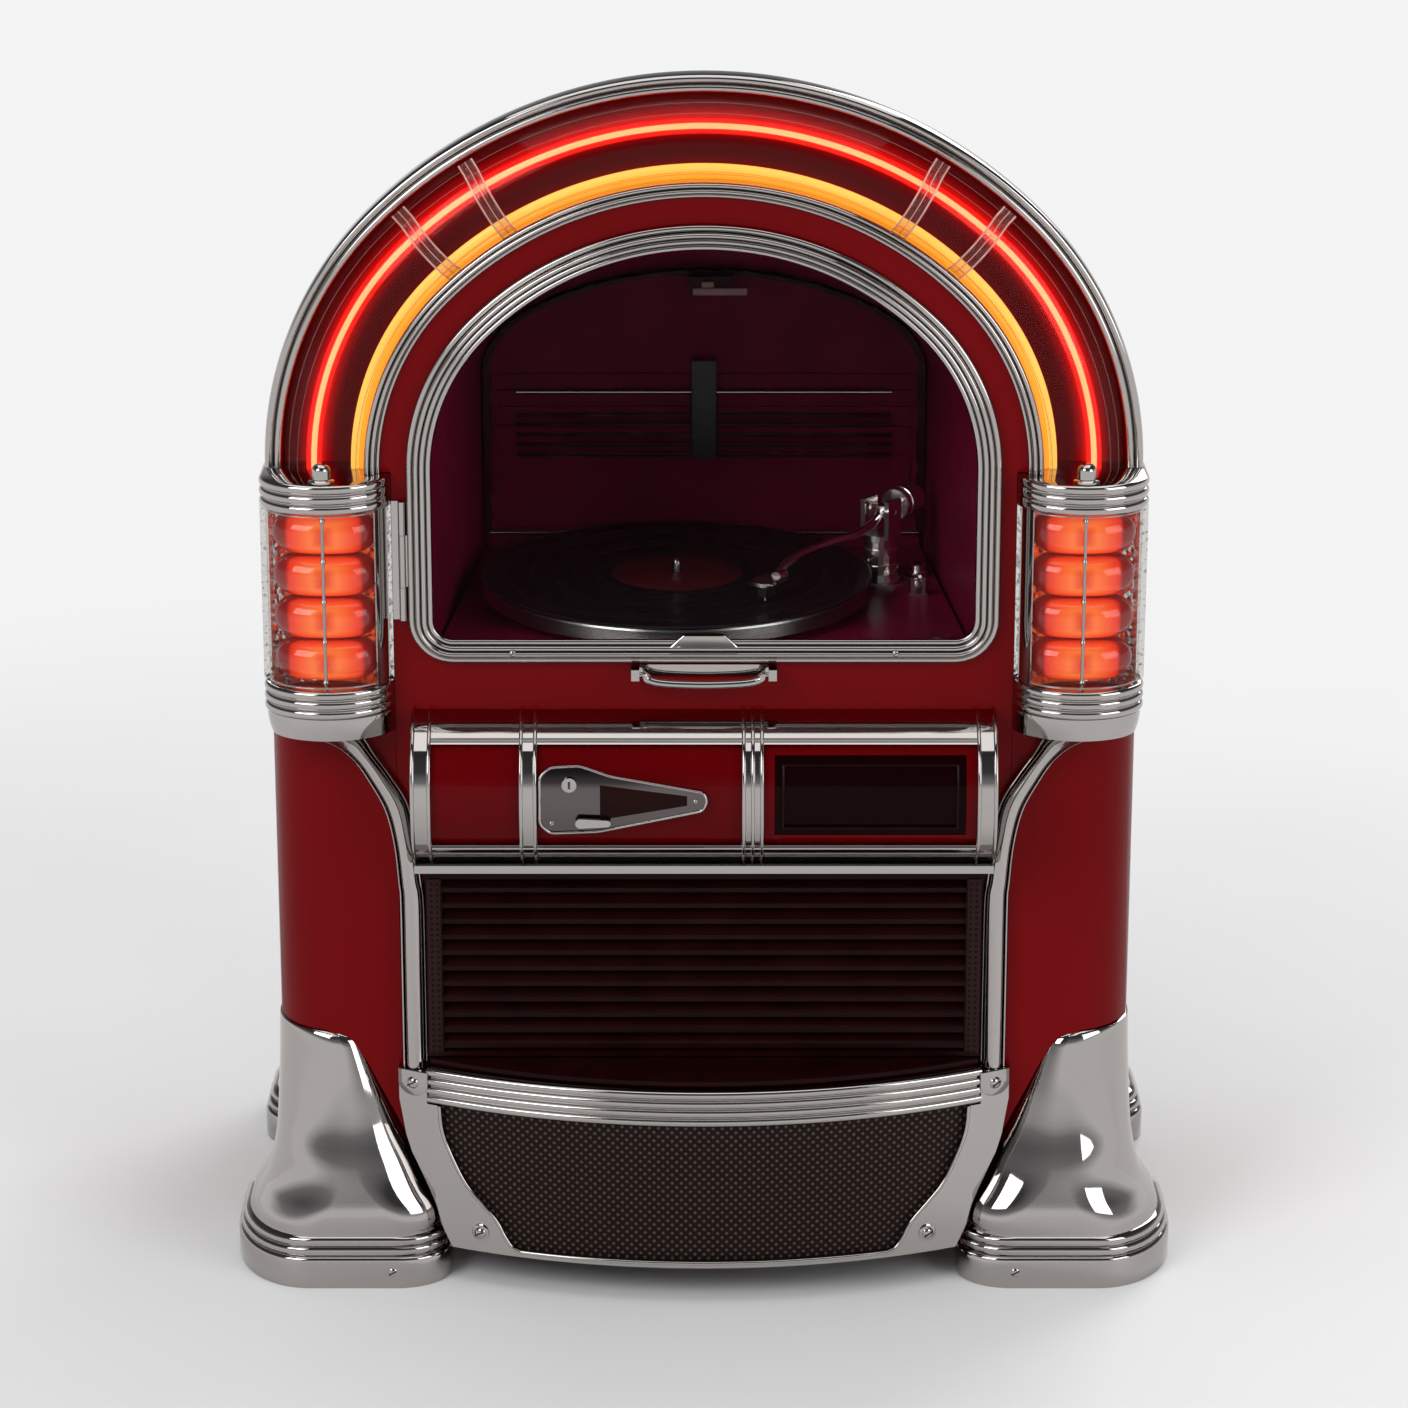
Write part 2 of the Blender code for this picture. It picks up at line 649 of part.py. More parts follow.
def arch_trims():
    collar = COLLAR_Z[3] + GAP
    back = SHELL_FRONT - TRAY_THICKNESS - 2 * GAP
    inner, outer = ARCH_OUTER - OUTER_TRIM_WIDTH, ARCH_OUTER
    rib = OUTER_TRIM_WIDTH / 4
    front = TUBE_DEPTH - 2 * rib
    profile = [(inner, back), (inner, front + rib), (inner + rib, front), (inner + 2 * rib, front + rib),
               (inner + 3 * rib, front + rib / 2), (outer, front + 2 * rib), (outer, back)]
    piece("arch_outer_trim", arch_sweep(profile, collar), CHROME)
    inner, outer = INNER_TRIM_INNER, INNER_TRIM_OUTER
    edge = PANEL_ARCH + GAP
    proud = outer - inner
    profile = [(inner, -GAP), (inner, -proud / 2), (inner + proud * 0.25, -proud),
               (inner + proud * 0.6, -proud), (outer - proud * 0.1, -proud * 0.6), (outer, 0),
               (outer, PANEL_THICKNESS - GAP),
               (edge, PANEL_THICKNESS - GAP), (edge, -GAP)]
    piece("arch_inner_trim", arch_sweep(profile, collar), CHROME)


def arch_tray():
    back = SHELL_FRONT - GAP
    floor = back - TRAY_THICKNESS
    inner, flange = PANEL_HALF_WIDTH + GAP, PANEL_HALF_WIDTH + GAP + TRAY_THICKNESS
    outer = ARCH_OUTER - OUTER_TRIM_WIDTH / 4
    front = PANEL_THICKNESS + GAP
    profile = [(inner, back), (inner, front), (flange, front), (flange, floor), (outer, floor),
               (outer, back)]
    tray = piece("arch_light_tray", arch_sweep(profile, FLARE_Z), DARK)
    for side in (-1, 1):
        edge = sorted((side * (inner - OVERRUN), side * (ARCH_OUTER + OVERRUN)))
        room = front_box(edge, (front - OVERRUN, floor - GAP / 2), (FLARE_Z - OVERRUN, COLLAR_Z[3] + GAP))
        cut(tray, room, "column_%d" % (side + 1))


def cover_profile(extra=0.0):
    """The light cover's front surface as (half width, depth), pushed out by extra."""
    inner, outer = COVER_INNER, COVER_OUTER
    base_in, base_out = PANEL_THICKNESS * 0.4, SHELL_FRONT * 0.45
    points = []
    for i in range(8):
        t = i / 7
        swell = math.sin(math.pi * t) ** 0.7
        depth = base_in + (base_out - base_in) * t - (COVER_BULGE + extra) * swell
        points.append((inner + (outer - inner) * t, depth))
    return points


def arch_cover():
    front = cover_profile()
    width = COVER_OUTER - COVER_INNER
    shrink = 1 - 2 * COVER_WALL / width
    middle = (COVER_OUTER + COVER_INNER) / 2
    back = [(middle + (a - middle) * shrink, depth + COVER_WALL) for a, depth in front]
    cover = piece("arch_light_cover", arch_sweep(front + back[::-1], COLLAR_Z[3] + GAP), CLEAR)
    for count, angle in enumerate(STRIP_ANGLES):
        join(cover, cover_strip(angle, front), "strip_%d" % count)


def cover_strip(angle, front):
    """A strip across the cover, standing proud of it, at one angle about the arch's centre."""
    turn = Vector((math.cos(angle), math.sin(angle)))
    across = Vector((-turn.y, turn.x)) * (STRIP_WIDTH / 2)
    side_centre = Vector((math.copysign(SIDE_CENTRE_X, turn.x), SPRING_Z))
    top_centre = Vector((0, SPRING_Z - SIDE_CENTRE_X))
    crown = math.pi / 4 < angle < 3 * math.pi / 4
    centre = top_centre if crown else side_centre
    shift = SIDE_CENTRE_X * (math.sqrt(2) - 1) if crown else -SIDE_CENTRE_X
    sections = []
    inset = COVER_WALL / 2
    for a, depth in front[1:-1]:
        place = centre + turn * (a + shift)
        sections.append([(p.x, FRONT_Y + d, p.y) for p, d in (
            (place - across, depth + inset), (place - across, depth - STRIP_HEIGHT),
            (place + across, depth - STRIP_HEIGHT), (place + across, depth + inset))])
    return loft(sections)


def neon_tubes():
    tubes = (("red_neon_tube", RED_TUBE_HALF_WIDTH, RED_TUBE_RADIUS, RED_GLOW),
             ("amber_neon_tube", AMBER_TUBE_HALF_WIDTH, AMBER_TUBE_RADIUS, AMBER_GLOW))
    for name, half_width, radius, finish in tubes:
        path = [(x, FRONT_Y + TUBE_DEPTH, z) for x, z in arch(half_width, COLLAR_Z[3] + GAP)]
        piece(name, tube(path, radius, 1), finish)


def column_plan(side, inset, back):
    """Plan of a lamp column: a half ellipse in front and a straight back."""
    half = COLUMN_HALF_WIDTH - inset
    forward = COLUMN_FORWARD - inset
    front = [(side * COLUMN_X + half * math.cos(t), FRONT_Y + COLUMN_MID + forward * math.sin(t))
             for t in [math.pi + math.pi * i / 10 for i in range(11)]]
    return front + [(side * COLUMN_X + half, FRONT_Y + back), (side * COLUMN_X - half, FRONT_Y + back)]


def ribbed_collar(side, low, high):
    """Three stacked ribs between two heights, as level sections."""
    back = SHELL_FRONT - TRAY_THICKNESS - 2 * GAP
    rib = (high - low) / 3
    levels = []
    for i in range(3):
        start = low + i * rib
        levels += [(start, COLLAR_RIB), (start + rib * 0.25, 0), (start + rib * 0.75, 0)]
    levels.append((high, COLLAR_RIB))
    return [[(x, y, z) for x, y in column_plan(side, inset, back)] for z, inset in levels]


def collars():
    for side, name in ((-1, "left"), (1, "right")):
        low, high = COLLAR_Z[0], COLLAR_Z[1]
        back = SHELL_FRONT - TRAY_THICKNESS - 2 * GAP
        flare = [[(x, y, z) for x, y in column_plan(side, inset, back)]
                 for z, inset in ((FLARE_Z, FLARE_INSET), ((FLARE_Z + low) / 2, FLARE_INSET / 2))]
        lower = piece("lower_collar_" + name, loft(flare + ribbed_collar(side, low, high)), CHROME)
        rod_y = FRONT_Y + COLUMN_MID - COLUMN_FORWARD + COVER_INSET + COVER_GLASS + BEAD_RADIUS + GAP
        mesh = rod(ROD_RADIUS, high - OVERRUN, COLLAR_Z[2] - GAP, "Z", 8, (side * COLUMN_X, rod_y, 0))
        join(lower, mesh, "rod")
        piece("upper_collar_" + name, loft(ribbed_collar(side, COLLAR_Z[2], COLLAR_Z[3])), CHROME)


def column_lamps():
    low, high = COLLAR_Z[1] + GAP, COLLAR_Z[2] - GAP
    back = SHELL_FRONT - TRAY_THICKNESS - 2 * GAP
    rod_y = COLUMN_MID - COLUMN_FORWARD + COVER_INSET + COVER_GLASS + 2 * BEAD_RADIUS + 2 * GAP
    lamp_depth = rod_y + LAMP_HALF_DEPTH
    for side, name in ((-1, "left"), (1, "right")):
        x = side * COLUMN_X
        profile = [(0, high)]
        for i in reversed(range(4)):
            middle = (low + high) / 2 + (i - 1.5) * LAMP_PITCH
            for turn in (70, 30, -30, -70):
                angle = math.radians(turn)
                share = LAMP_NECK_SHARE + (1 - LAMP_NECK_SHARE) * math.cos(angle) ** 0.6
                profile.append((share, middle + LAMP_PITCH / 2 * math.sin(angle)))
        profile.append((0, low))
        stretch = Matrix.Diagonal((LAMP_HALF_WIDTH, LAMP_HALF_DEPTH, 1, 1))
        place = Matrix.Translation((x, FRONT_Y + lamp_depth, 0)) @ stretch
        piece("lamp_stack_" + name, turned(profile, 12, place), LAMP_GLOW)
        outer = column_plan(side, COVER_INSET, COLUMN_MID)
        inner = column_plan(side, COVER_INSET + COVER_GLASS, COLUMN_MID)
        half_ring = outer[:11] + inner[:11][::-1]
        piece("column_cover_" + name, plate([half_ring], low, high, TOP), CLEAR)
        piece("column_reflector_" + name, reflector(x, low, high, back), CHROME)


def reflector(x, low, high, back):
    """A bright trough behind the lamps, with a flat lip at each side."""
    half, wall = COLUMN_HALF_WIDTH, REFLECTOR_THICKNESS
    front = COLUMN_MID + GAP
    right = [(x + half - REFLECTOR_EDGE, FRONT_Y + front), (x + half, FRONT_Y + front),
             (x + half, FRONT_Y + back)]
    left = [(2 * x - a, b) for a, b in reversed(right)]
    bowl = [(x - half + REFLECTOR_EDGE, FRONT_Y + back - 2 * wall), (x - half / 2, FRONT_Y + back - wall),
            (x + half / 2, FRONT_Y + back - wall), (x + half - REFLECTOR_EDGE, FRONT_Y + back - 2 * wall)]
    return plate([right + left + bowl], low, high, TOP)


def nut_place(side):
    """Where a dome nut stands, on the front of its upper collar."""
    forward = COLUMN_MID - COLUMN_FORWARD + NUT_RADIUS + COLLAR_RIB + GAP
    return (side * COLUMN_X, FRONT_Y + forward, COLLAR_Z[3] + GAP)


def dome_nuts():
    for side, name in ((-1, "left"), (1, "right")):
        r = NUT_RADIUS
        profile = [(0, r * 1.5), (r * 0.35, r * 1.42), (r * 0.62, r * 1.15), (r * 0.72, r * 0.8),
                   (r * 0.72, r * 0.3), (r, r * 0.22), (r, 0), (0, 0)]
        piece("dome_nut_" + name, turned(profile, 12, Matrix.Translation(nut_place(side))), CHROME)


def foot_levels():
    """Heights of a foot's sections with how far each has drawn in, as a share of the whole flare."""
    flank = FOOT_TOP_Z - FOOT_RIDGE_Z
    band = FOOT_RIDGE_Z - FOOT_BASE_Z
    inset = FOOT_RIDGE_INSET / (FOOT_TOP_INNER - FOOT_INNER)
    levels = [(0, 0.0, 0.0), (FOOT_BASE_Z, 0.0, 0.0), (FOOT_BASE_Z + band * 0.1, inset, inset * 1.5)]
    levels += [(FOOT_BASE_Z + band * 0.5, inset * 0.4, inset * 0.8), (FOOT_RIDGE_Z, inset * 0.6, 0.26)]
    flank_shares = ((0.05, 0.06, 0.38), (0.12, 0.11, 0.56), (0.20, 0.19, 0.73), (0.36, 0.37, 0.90),
                    (0.50, 0.555, 0.95), (0.68, 0.735, 0.98), (0.88, 0.93, 1.0))
    levels += [(FOOT_RIDGE_Z + flank * up, inner, outer) for up, inner, outer in flank_shares]
    return levels + [(FOOT_TOP_Z, 1.06, 1.08)]


def corner_shares(level):
    """Radii of a foot's corners as shares of its width and length: outer front first, then round it."""
    base_shares = ((0.36, 0.55), (0.25, 0.25), (0.25, 0.25), (0.24, 0.24))
    top_shares = ((0.78, 0.70), (0.18, 0.15), (0.18, 0.15), (0.18, 0.16))
    mix = min(1, max(0, level))
    return [[low + (high - low) * mix for low, high in zip(*pair)] for pair in zip(base_shares, top_shares)]


def foot_section(side, facing, z, inner_share, outer_share, grow):
    """A round-cornered plan, fullest at the outer front; facing 1 is a front foot and -1 a rear one."""
    inner = FOOT_INNER + (FOOT_TOP_INNER - FOOT_INNER) * inner_share - grow
    outer = FOOT_OUTER - (FOOT_OUTER - FOOT_TOP_OUTER) * outer_share + grow
    front = -FOOT_FORWARD + (FOOT_FORWARD - FOOT_TOP_FORWARD) * inner_share - grow
    back = FOOT_LENGTH - FOOT_FORWARD
    back -= (back - FOOT_TOP_LENGTH) * outer_share - grow
    ends = ((outer, -1, front, 1), (outer, -1, back, -1), (inner, 1, back, -1), (inner, 1, front, 1))
    points = []
    for place, (share_x, share_y) in enumerate(corner_shares(inner_share)):
        x, in_x, depth, in_y = ends[place]
        across, along = share_x * (outer - inner), share_y * (back - front)
        start = -math.pi / 2 + place * math.pi / 2
        steps = 3 if place else 5
        for k in range(steps + 1):
            turn = start + math.pi / 2 * k / steps
            points.append((x + across * (in_x + math.cos(turn)), depth + along * (in_y + math.sin(turn))))
    if facing < 0:
        points = [(x, CABINET_DEPTH - FOOT_FORWARD - depth - FOOT_TOP_FORWARD) for x, depth in points]
    return [(side * x, FRONT_Y + depth, z) for x, depth in points]


def foot_blank(side, facing, grow):
    sections = [foot_section(side, facing, z, inner, outer, grow) for z, inner, outer in foot_levels()]
    if grow > 0:
        first = [(x, y, z - OVERRUN) for x, y, z in sections[0]]
        last = [(x, y, z + grow) for x, y, z in sections[-1]]
        sections = [first] + sections[:-1] + [last]
    return loft(sections)


def feet():
    for side, across in ((-1, "left"), (1, "right")):
        for facing, along in ((1, "front"), (-1, "rear")):
            foot = piece("%s_%s_foot" % (along, across), foot_blank(side, facing, 0), CHROME)
            inside = [foot_section(side, facing, z, inner, outer, -FOOT_WALL)
                      for z, inner, outer in foot_levels()[::4][:3]]
            inside[0] = [(x, y, z - OVERRUN) for x, y, z in inside[0]]
            cut(foot, loft(inside), "hollow")


def door_profile():
    """Section of the door frame from its outer edge in, as (half width, depth) points."""
    step = (DOOR_OUTER - DOOR_INNER) / 5
    proud = DOOR_PROUD
    seat = DOOR_INNER + DOOR_REBATE
    return [(DOOR_OUTER, -GAP), (DOOR_OUTER, -proud * 0.45), (DOOR_OUTER - step * 0.8, -proud * 0.6),
            (DOOR_OUTER - step, -proud * 0.9), (DOOR_OUTER - step * 2.4, -proud),
            (DOOR_OUTER - step * 3, -proud * 0.75), (DOOR_OUTER - step * 4, -proud * 0.85),
            (DOOR_INNER, -proud * 0.6), (DOOR_INNER, -GLASS_THICKNESS - 3 * GAP),
            (seat, -GLASS_THICKNESS - 3 * GAP), (seat, -GAP)]


def door():
    middle = (DOOR_OUTER + DOOR_INNER) / 2
    inset = DOOR_OUTER - middle
    path = window(middle, DOOR_BOTTOM_Z + inset, DOOR_CORNER - inset)
    drawn = [(middle - a, -depth) for a, depth in door_profile()]
    mesh = sweep(path, drawn, FRONT, offset=-FRONT_Y, cyclic=True)
    axis = (-HINGE_X, FRONT_Y - HINGE_FORWARD, HINGE_Z[0])
    frame = piece("door_frame", mesh, CHROME, axis)
    low, high = HINGE_Z[1] + GAP, HINGE_Z[2] - GAP
    knuckle = rod(HINGE_RADIUS, low, high, "Z", 16, (-HINGE_X, FRONT_Y - HINGE_FORWARD, 0))
    tab_depth = (-HINGE_FORWARD, -HINGE_FORWARD + HINGE_RADIUS - GAP)
    tab = front_box((-HINGE_X, -DOOR_OUTER + OVERRUN / 2), tab_depth, (low, high))
    join(frame, knuckle, "knuckle")
    join(frame, tab, "tab")
    cut(frame, rod(HINGE_PIN_RADIUS + GAP, low - OVERRUN, high + OVERRUN, "Z", 16,
                   (-HINGE_X, FRONT_Y - HINGE_FORWARD, 0)), "pin_bore")
    latch_z = DOOR_BOTTOM_Z + DOOR_OUTER - DOOR_INNER
    half, rise = LATCH_HALF_WIDTH, LATCH_HEIGHT
    outline = [(-half, latch_z - rise / 2), (half, latch_z - rise / 2), (half * 0.6, latch_z + rise / 2),
               (-half * 0.6, latch_z + rise / 2)]
    join(frame, front_plate([outline], -DOOR_PROUD - 2 * GAP, -DOOR_PROUD / 2), "latch_lug")
    seat = DOOR_INNER + DOOR_REBATE - GAP
    inset = DOOR_OUTER - seat
    glass = [window(seat, DOOR_BOTTOM_Z + inset, DOOR_CORNER - inset)]
    piece("door_glass", front_plate(glass, -GLASS_THICKNESS - 2 * GAP, -2 * GAP), CLEAR, axis)


def door_hinge():
    x, depth = -HINGE_X, -HINGE_FORWARD
    at = (x, FRONT_Y + depth, 0)
    leaf_x = (-PANEL_HALF_WIDTH, x)
    leaf = front_box(leaf_x, (-PLATE_THICKNESS, -GAP), (HINGE_Z[0], HINGE_Z[3]))
    hinge = piece("door_hinge", leaf, CHROME)
    join(hinge, front_box((x - HINGE_RADIUS / 2, x + HINGE_RADIUS / 2), (depth, -PLATE_THICKNESS / 2),
                          (HINGE_Z[0], HINGE_Z[1])), "lower_web")
    join(hinge, front_box((x - HINGE_RADIUS / 2, x + HINGE_RADIUS / 2), (depth, -PLATE_THICKNESS / 2),
                          (HINGE_Z[2], HINGE_Z[3])), "upper_web")
    join(hinge, rod(HINGE_RADIUS, HINGE_Z[0], HINGE_Z[1], "Z", 12, at), "lower_knuckle")
    join(hinge, rod(HINGE_RADIUS, HINGE_Z[2], HINGE_Z[3], "Z", 12, at), "upper_knuckle")
    relief = HINGE_RADIUS + GAP
    cut(hinge, rod(relief, HINGE_Z[1], HINGE_Z[2], "Z", 16, at), "door_knuckle_relief")
    join(hinge, rod(HINGE_PIN_RADIUS, HINGE_Z[0] + OVERRUN, HINGE_Z[3] - OVERRUN, "Z", 12, at), "pin")


def pull_handle():
    half, z, depth = HANDLE_HALF_WIDTH, HANDLE_Z, -HANDLE_FORWARD
    lug_in = half + 2 * GAP + HANDLE_RADIUS
    lug_out = lug_in + LUG_THICKNESS
    high = HANDLE_RADIUS * 1.4
    plate_mesh = front_box((-lug_out, lug_out), (-PLATE_THICKNESS - GAP, -GAP), (z - high, z + high))
    bracket = piece("handle_bracket", plate_mesh, CHROME)
    for side in (-1, 1):
        edge = sorted((side * lug_in, side * lug_out))
        lug = front_box(edge, (depth - HANDLE_RADIUS, -PLATE_THICKNESS), (z - high, z + high))
        join(bracket, lug, "lug_%d" % (side + 1))
    pin = HANDLE_RADIUS * 0.6
    bore = rod(pin + GAP, -lug_out - OVERRUN, lug_out + OVERRUN, "X", 16, (0, FRONT_Y + depth, z))
    cut(bracket, bore, "pin_bores")
    drop = HANDLE_DROP
    path = [(-half, z), (-half * 0.9, z - drop * 0.6), (-half * 0.6, z - drop * 0.9), (0, z - drop),
            (half * 0.6, z - drop * 0.9), (half * 0.9, z - drop * 0.6), (half, z)]
    axis = (0, FRONT_Y + depth, z)
    bail = tube([(x, FRONT_Y + depth, up) for x, up in path], HANDLE_RADIUS)
    handle = piece("pull_handle", bail, CHROME, axis)
    for side in (-1, 1):
        span = sorted((side * (half - HANDLE_RADIUS), side * (lug_out - GAP)))
        join(handle, rod(pin, span[0], span[1], "X", 12, axis), "pin_%d" % (side + 1))


def selector_section(inset_out, inset_in, chord=GAP):
    """Section of a curved console skin in the side view, as (y, z) points."""
    def skin(inset, backwards):
        points = []
        for i in range(13):
            t = -math.pi / 2 + math.pi * (12 - i if backwards else i) / 12
            points.append((FRONT_Y - chord - (SELECTOR_BULGE - inset) * math.cos(t),
                           SELECTOR_Z + (SELECTOR_HALF_HEIGHT - inset) * math.sin(t)))
        return points
    return skin(inset_out, False) + skin(inset_in, True)


def selector():
    half = SELECTOR_HALF_LENGTH
    frame = piece("selector_frame", plate([selector_section(0, FRAME_WALL)], -half, half, SIDE), CHROME)
    bulge = -SELECTOR_BULGE - OVERRUN
    panes = ((-half + END_BAND, BAND_EDGES[0]), (BAND_EDGES[1], BAND_EDGES[2]),
             (BAND_EDGES[3], half - END_BAND))
    for count, pane in enumerate(panes):
        cut(frame, front_box(pane, (bulge, -FRAME_WALL), APERTURE_Z), "pane_%d" % count)
    outer = selector_section(FRAME_WALL / 2, 0, FRAME_WALL / 2)[:13]
    for side in (-1, 1):
        span = sorted((side * (half - END_BAND / 4), side * (half - END_BAND * 0.6)))
        join(frame, plate([outer], span[0], span[1], SIDE), "end_%d" % (side + 1))
    bottom = SELECTOR_Z - SELECTOR_HALF_HEIGHT
    lip_half = half - END_BAND / 15
    lip_z = (bottom + LIP_RAISE - LIP_HEIGHT / 2, bottom + LIP_RAISE + LIP_HEIGHT / 2)
    join(frame, front_box((-lip_half, lip_half), (-LIP_FORWARD, -3 * GAP), lip_z), "lip")
    inner_half = half - END_BAND * 0.6 - GAP
    under = FRAME_WALL + GAP
    skin = selector_section(under, under + SELECTOR_WALL)
    body = piece("selector_body", plate([skin], -inner_half, inner_half, SIDE), LACQUER)
    clip = lip_z[1] + GAP
    rebate = front_box((-half, half), (-LIP_FORWARD - OVERRUN, OVERRUN), (clip - 2 * LIP_HEIGHT, clip))
    cut(body, rebate, "lip_rebate")
    x = (panes[2][0] + DISPLAY_BORDER, panes[2][1] - DISPLAY_BORDER)
    z = (APERTURE_Z[0] + DISPLAY_BORDER, APERTURE_Z[1] - DISPLAY_BORDER)
    cut(body, front_box(x, (bulge, -FRAME_WALL), z), "display_opening")
    pane = rectangle((x[0] + GAP, x[1] - GAP), (z[0] + GAP, z[1] - GAP))
    glass = piece("display_window", front_plate([pane], bulge, -FRAME_WALL), DARK)
    sheet = selector_section(under + SELECTOR_WALL * 0.2, under + SELECTOR_WALL * 0.9)
    combine(glass, plate([sheet], x[0] - OVERRUN, x[1] + OVERRUN, SIDE), "INTERSECT", "curve")
    lock = rod(LOCK_RADIUS + GAP, bulge, 0, "Y", 20, (LOCK_PLACE[0], FRONT_Y, LOCK_PLACE[1]))
    pin = rod(LEVER_PIN_RADIUS + GAP, bulge, 0, "Y", 12, (LEVER_PLACE[0], FRONT_Y, LEVER_PLACE[1]))
    cut(body, lock, "lock_bore")
    cut(body, pin, "lever_bore")
    escutcheon(lock.copy(), pin.copy())


def escutcheon(lock, pin):
    """A tapered plate that follows the console's curve, with the lock and the thumb lever in it."""
    left, right = BAND_EDGES[1] + 0.15 * END_BAND, 0
    low, high = LEVER_PLACE[1] - 0.65 * END_BAND, LOCK_PLACE[1] + 0.85 * END_BAND
    span, rise = right - left, high - low
    shares = ((0.0, 0.15), (0.06, 0.0), (0.35, 0.03), (1.0, 0.34), (1.02, 0.64), (0.42, 0.86),
              (0.24, 1.0), (0.06, 0.98), (0.0, 0.86))
    outline = [(left + span * across, low + rise * up) for across, up in shares]
    solid = front_plate([outline], -SELECTOR_BULGE - OVERRUN, -FRAME_WALL)
    made = piece("escutcheon", solid, CHROME)
    skin = selector_section(-ESCUTCHEON_RISE, FRAME_WALL)
    combine(made, plate([skin], left - OVERRUN, right + 2 * OVERRUN, SIDE), "INTERSECT", "curve")
    cut(made, lock, "lock_bore")
    cut(made, pin, "lever_bore")


def lock_and_lever():
    surface = -(SELECTOR_BULGE + ESCUTCHEON_RISE)
    x, z = LOCK_PLACE
    r = LOCK_RADIUS
    axis = (x, FRONT_Y, z)
    mesh = rod(r, surface, surface + 5 * r, "Y", 20, axis)
    lock = piece("lock_cylinder", mesh, CHROME, (x, FRONT_Y + surface, z))
    slot = r / 6
    key = front_box((x - slot, x + slot), (surface - OVERRUN, surface + r), (z - r / 2, z + r / 2))
    cut(lock, key, "key_slot")
    x, z = LEVER_PLACE
    length, half = LEVER_LENGTH, LEVER_PIN_RADIUS * 1.8
    back = surface - 4 * GAP
    front = back - LEVER_PIN_RADIUS * 1.4
    outline = arc((x, z), half, math.pi / 2, 3 * math.pi / 2, 6)
    outline += arc((x + length, z), half * 0.7, -math.pi / 2, math.pi / 2, 5)
    lever = piece("thumb_lever", front_plate([outline], front, back), CHROME, (x, FRONT_Y + surface, z))
    join(lever, rod(LEVER_PIN_RADIUS, back - 2 * GAP, surface + 5 * r, "Y", 12, (x, FRONT_Y, z)), "pin")


def louvre_grille():
    low, high = LOUVRE_Z
    half, stile = LOUVRE_HALF_WIDTH, LOUVRE_STILE
    outer = rectangle((-half, half), (low, high))
    hole = rectangle((-half + stile, half - stile), (low + SLAT_THICKNESS, high - SLAT_THICKNESS))
    grille = piece("louvre_grille", front_plate([outer, hole[::-1]], -LOUVRE_DEPTH, -GAP), DARK)
    count = int((high - low) / LOUVRE_PITCH)
    start = (low + high) / 2 - (count - 1) / 2 * LOUVRE_PITCH
    slats = []
    for i in range(count):
        z = start + i * LOUVRE_PITCH
        front, back = FRONT_Y - LOUVRE_DEPTH * 0.9, FRONT_Y - LOUVRE_DEPTH * 0.2
        section = [(front, z - LOUVRE_PITCH * 0.32), (front, z - LOUVRE_PITCH * 0.32 + SLAT_THICKNESS),
                   (back, z + LOUVRE_PITCH * 0.20 + SLAT_THICKNESS), (back, z + LOUVRE_PITCH * 0.20)]
        slats.append(plate([section], -half + stile / 2, half - stile / 2, SIDE))
    join(grille, merged(slats), "slats")
    shelf = [(x, FRONT_Y + d) for x, d in bow_arc(-BAND_DEPTH * 0.5 - GAP, BAND_HALF_WIDTH - GAP, 16)]
    shelf += [(BAND_HALF_WIDTH - GAP, FRONT_Y - GAP), (-BAND_HALF_WIDTH + GAP, FRONT_Y - GAP)]
    join(grille, plate([shelf], SHELF_Z, SHELF_Z + SLAT_THICKNESS, TOP), "sill")
    strip = front_box((-half, half), (-SLAT_THICKNESS, -GAP), (SHELF_Z, low + SLAT_THICKNESS / 2))
    join(grille, strip, "apron")


def bow_arc(inset, half, steps):
    """The bow front in plan as (x, depth) points; inset is how far behind the bow's face."""
    radius = (BOW_HALF_CHORD ** 2 + BOW_RISE ** 2) / (2 * BOW_RISE)
    centre = -BOW_BACK - BOW_RISE + radius
    reach = math.asin(half / (radius + inset))
    turns = [-reach + 2 * reach * i / steps for i in range(steps + 1)]
    return [((radius + inset) * math.sin(t), centre - (radius + inset) * math.cos(t)) for t in turns]


def bow_wall(outward, inward, half, z, steps):
    """A curved wall that follows the bow, between two distances from its face."""
    front = bow_arc(outward, half, steps)
    back = bow_arc(inward, half, steps)
    outline = [(x, FRONT_Y + d) for x, d in front + back[::-1]]
    return plate([outline], z[0], z[1], TOP)


def mesh_outline(grow):
    """The lower grille seen from the front: wide at the top, drawn in round the screw at each side."""
    low, high = APRON_Z[0] + 0.7 * APRON_THICKNESS - grow, BAND_Z[0] - GAP + grow
    top, bottom = APRON_TOP_INNER + grow, APRON_BOTTOM_INNER + grow
    side_shares = ((0.0, 0.0), (0.03, 0.18), (0.14, 0.35), (0.31, 0.54), (0.49, 0.66), (0.70, 0.79),
                   (0.80, 0.895), (0.90, 0.975), (1.0, 1.0))
    side = [(top - (top - bottom) * across, high - (high - low) * down) for across, down in side_shares]
    return side + [(-x, z) for x, z in reversed(side)]


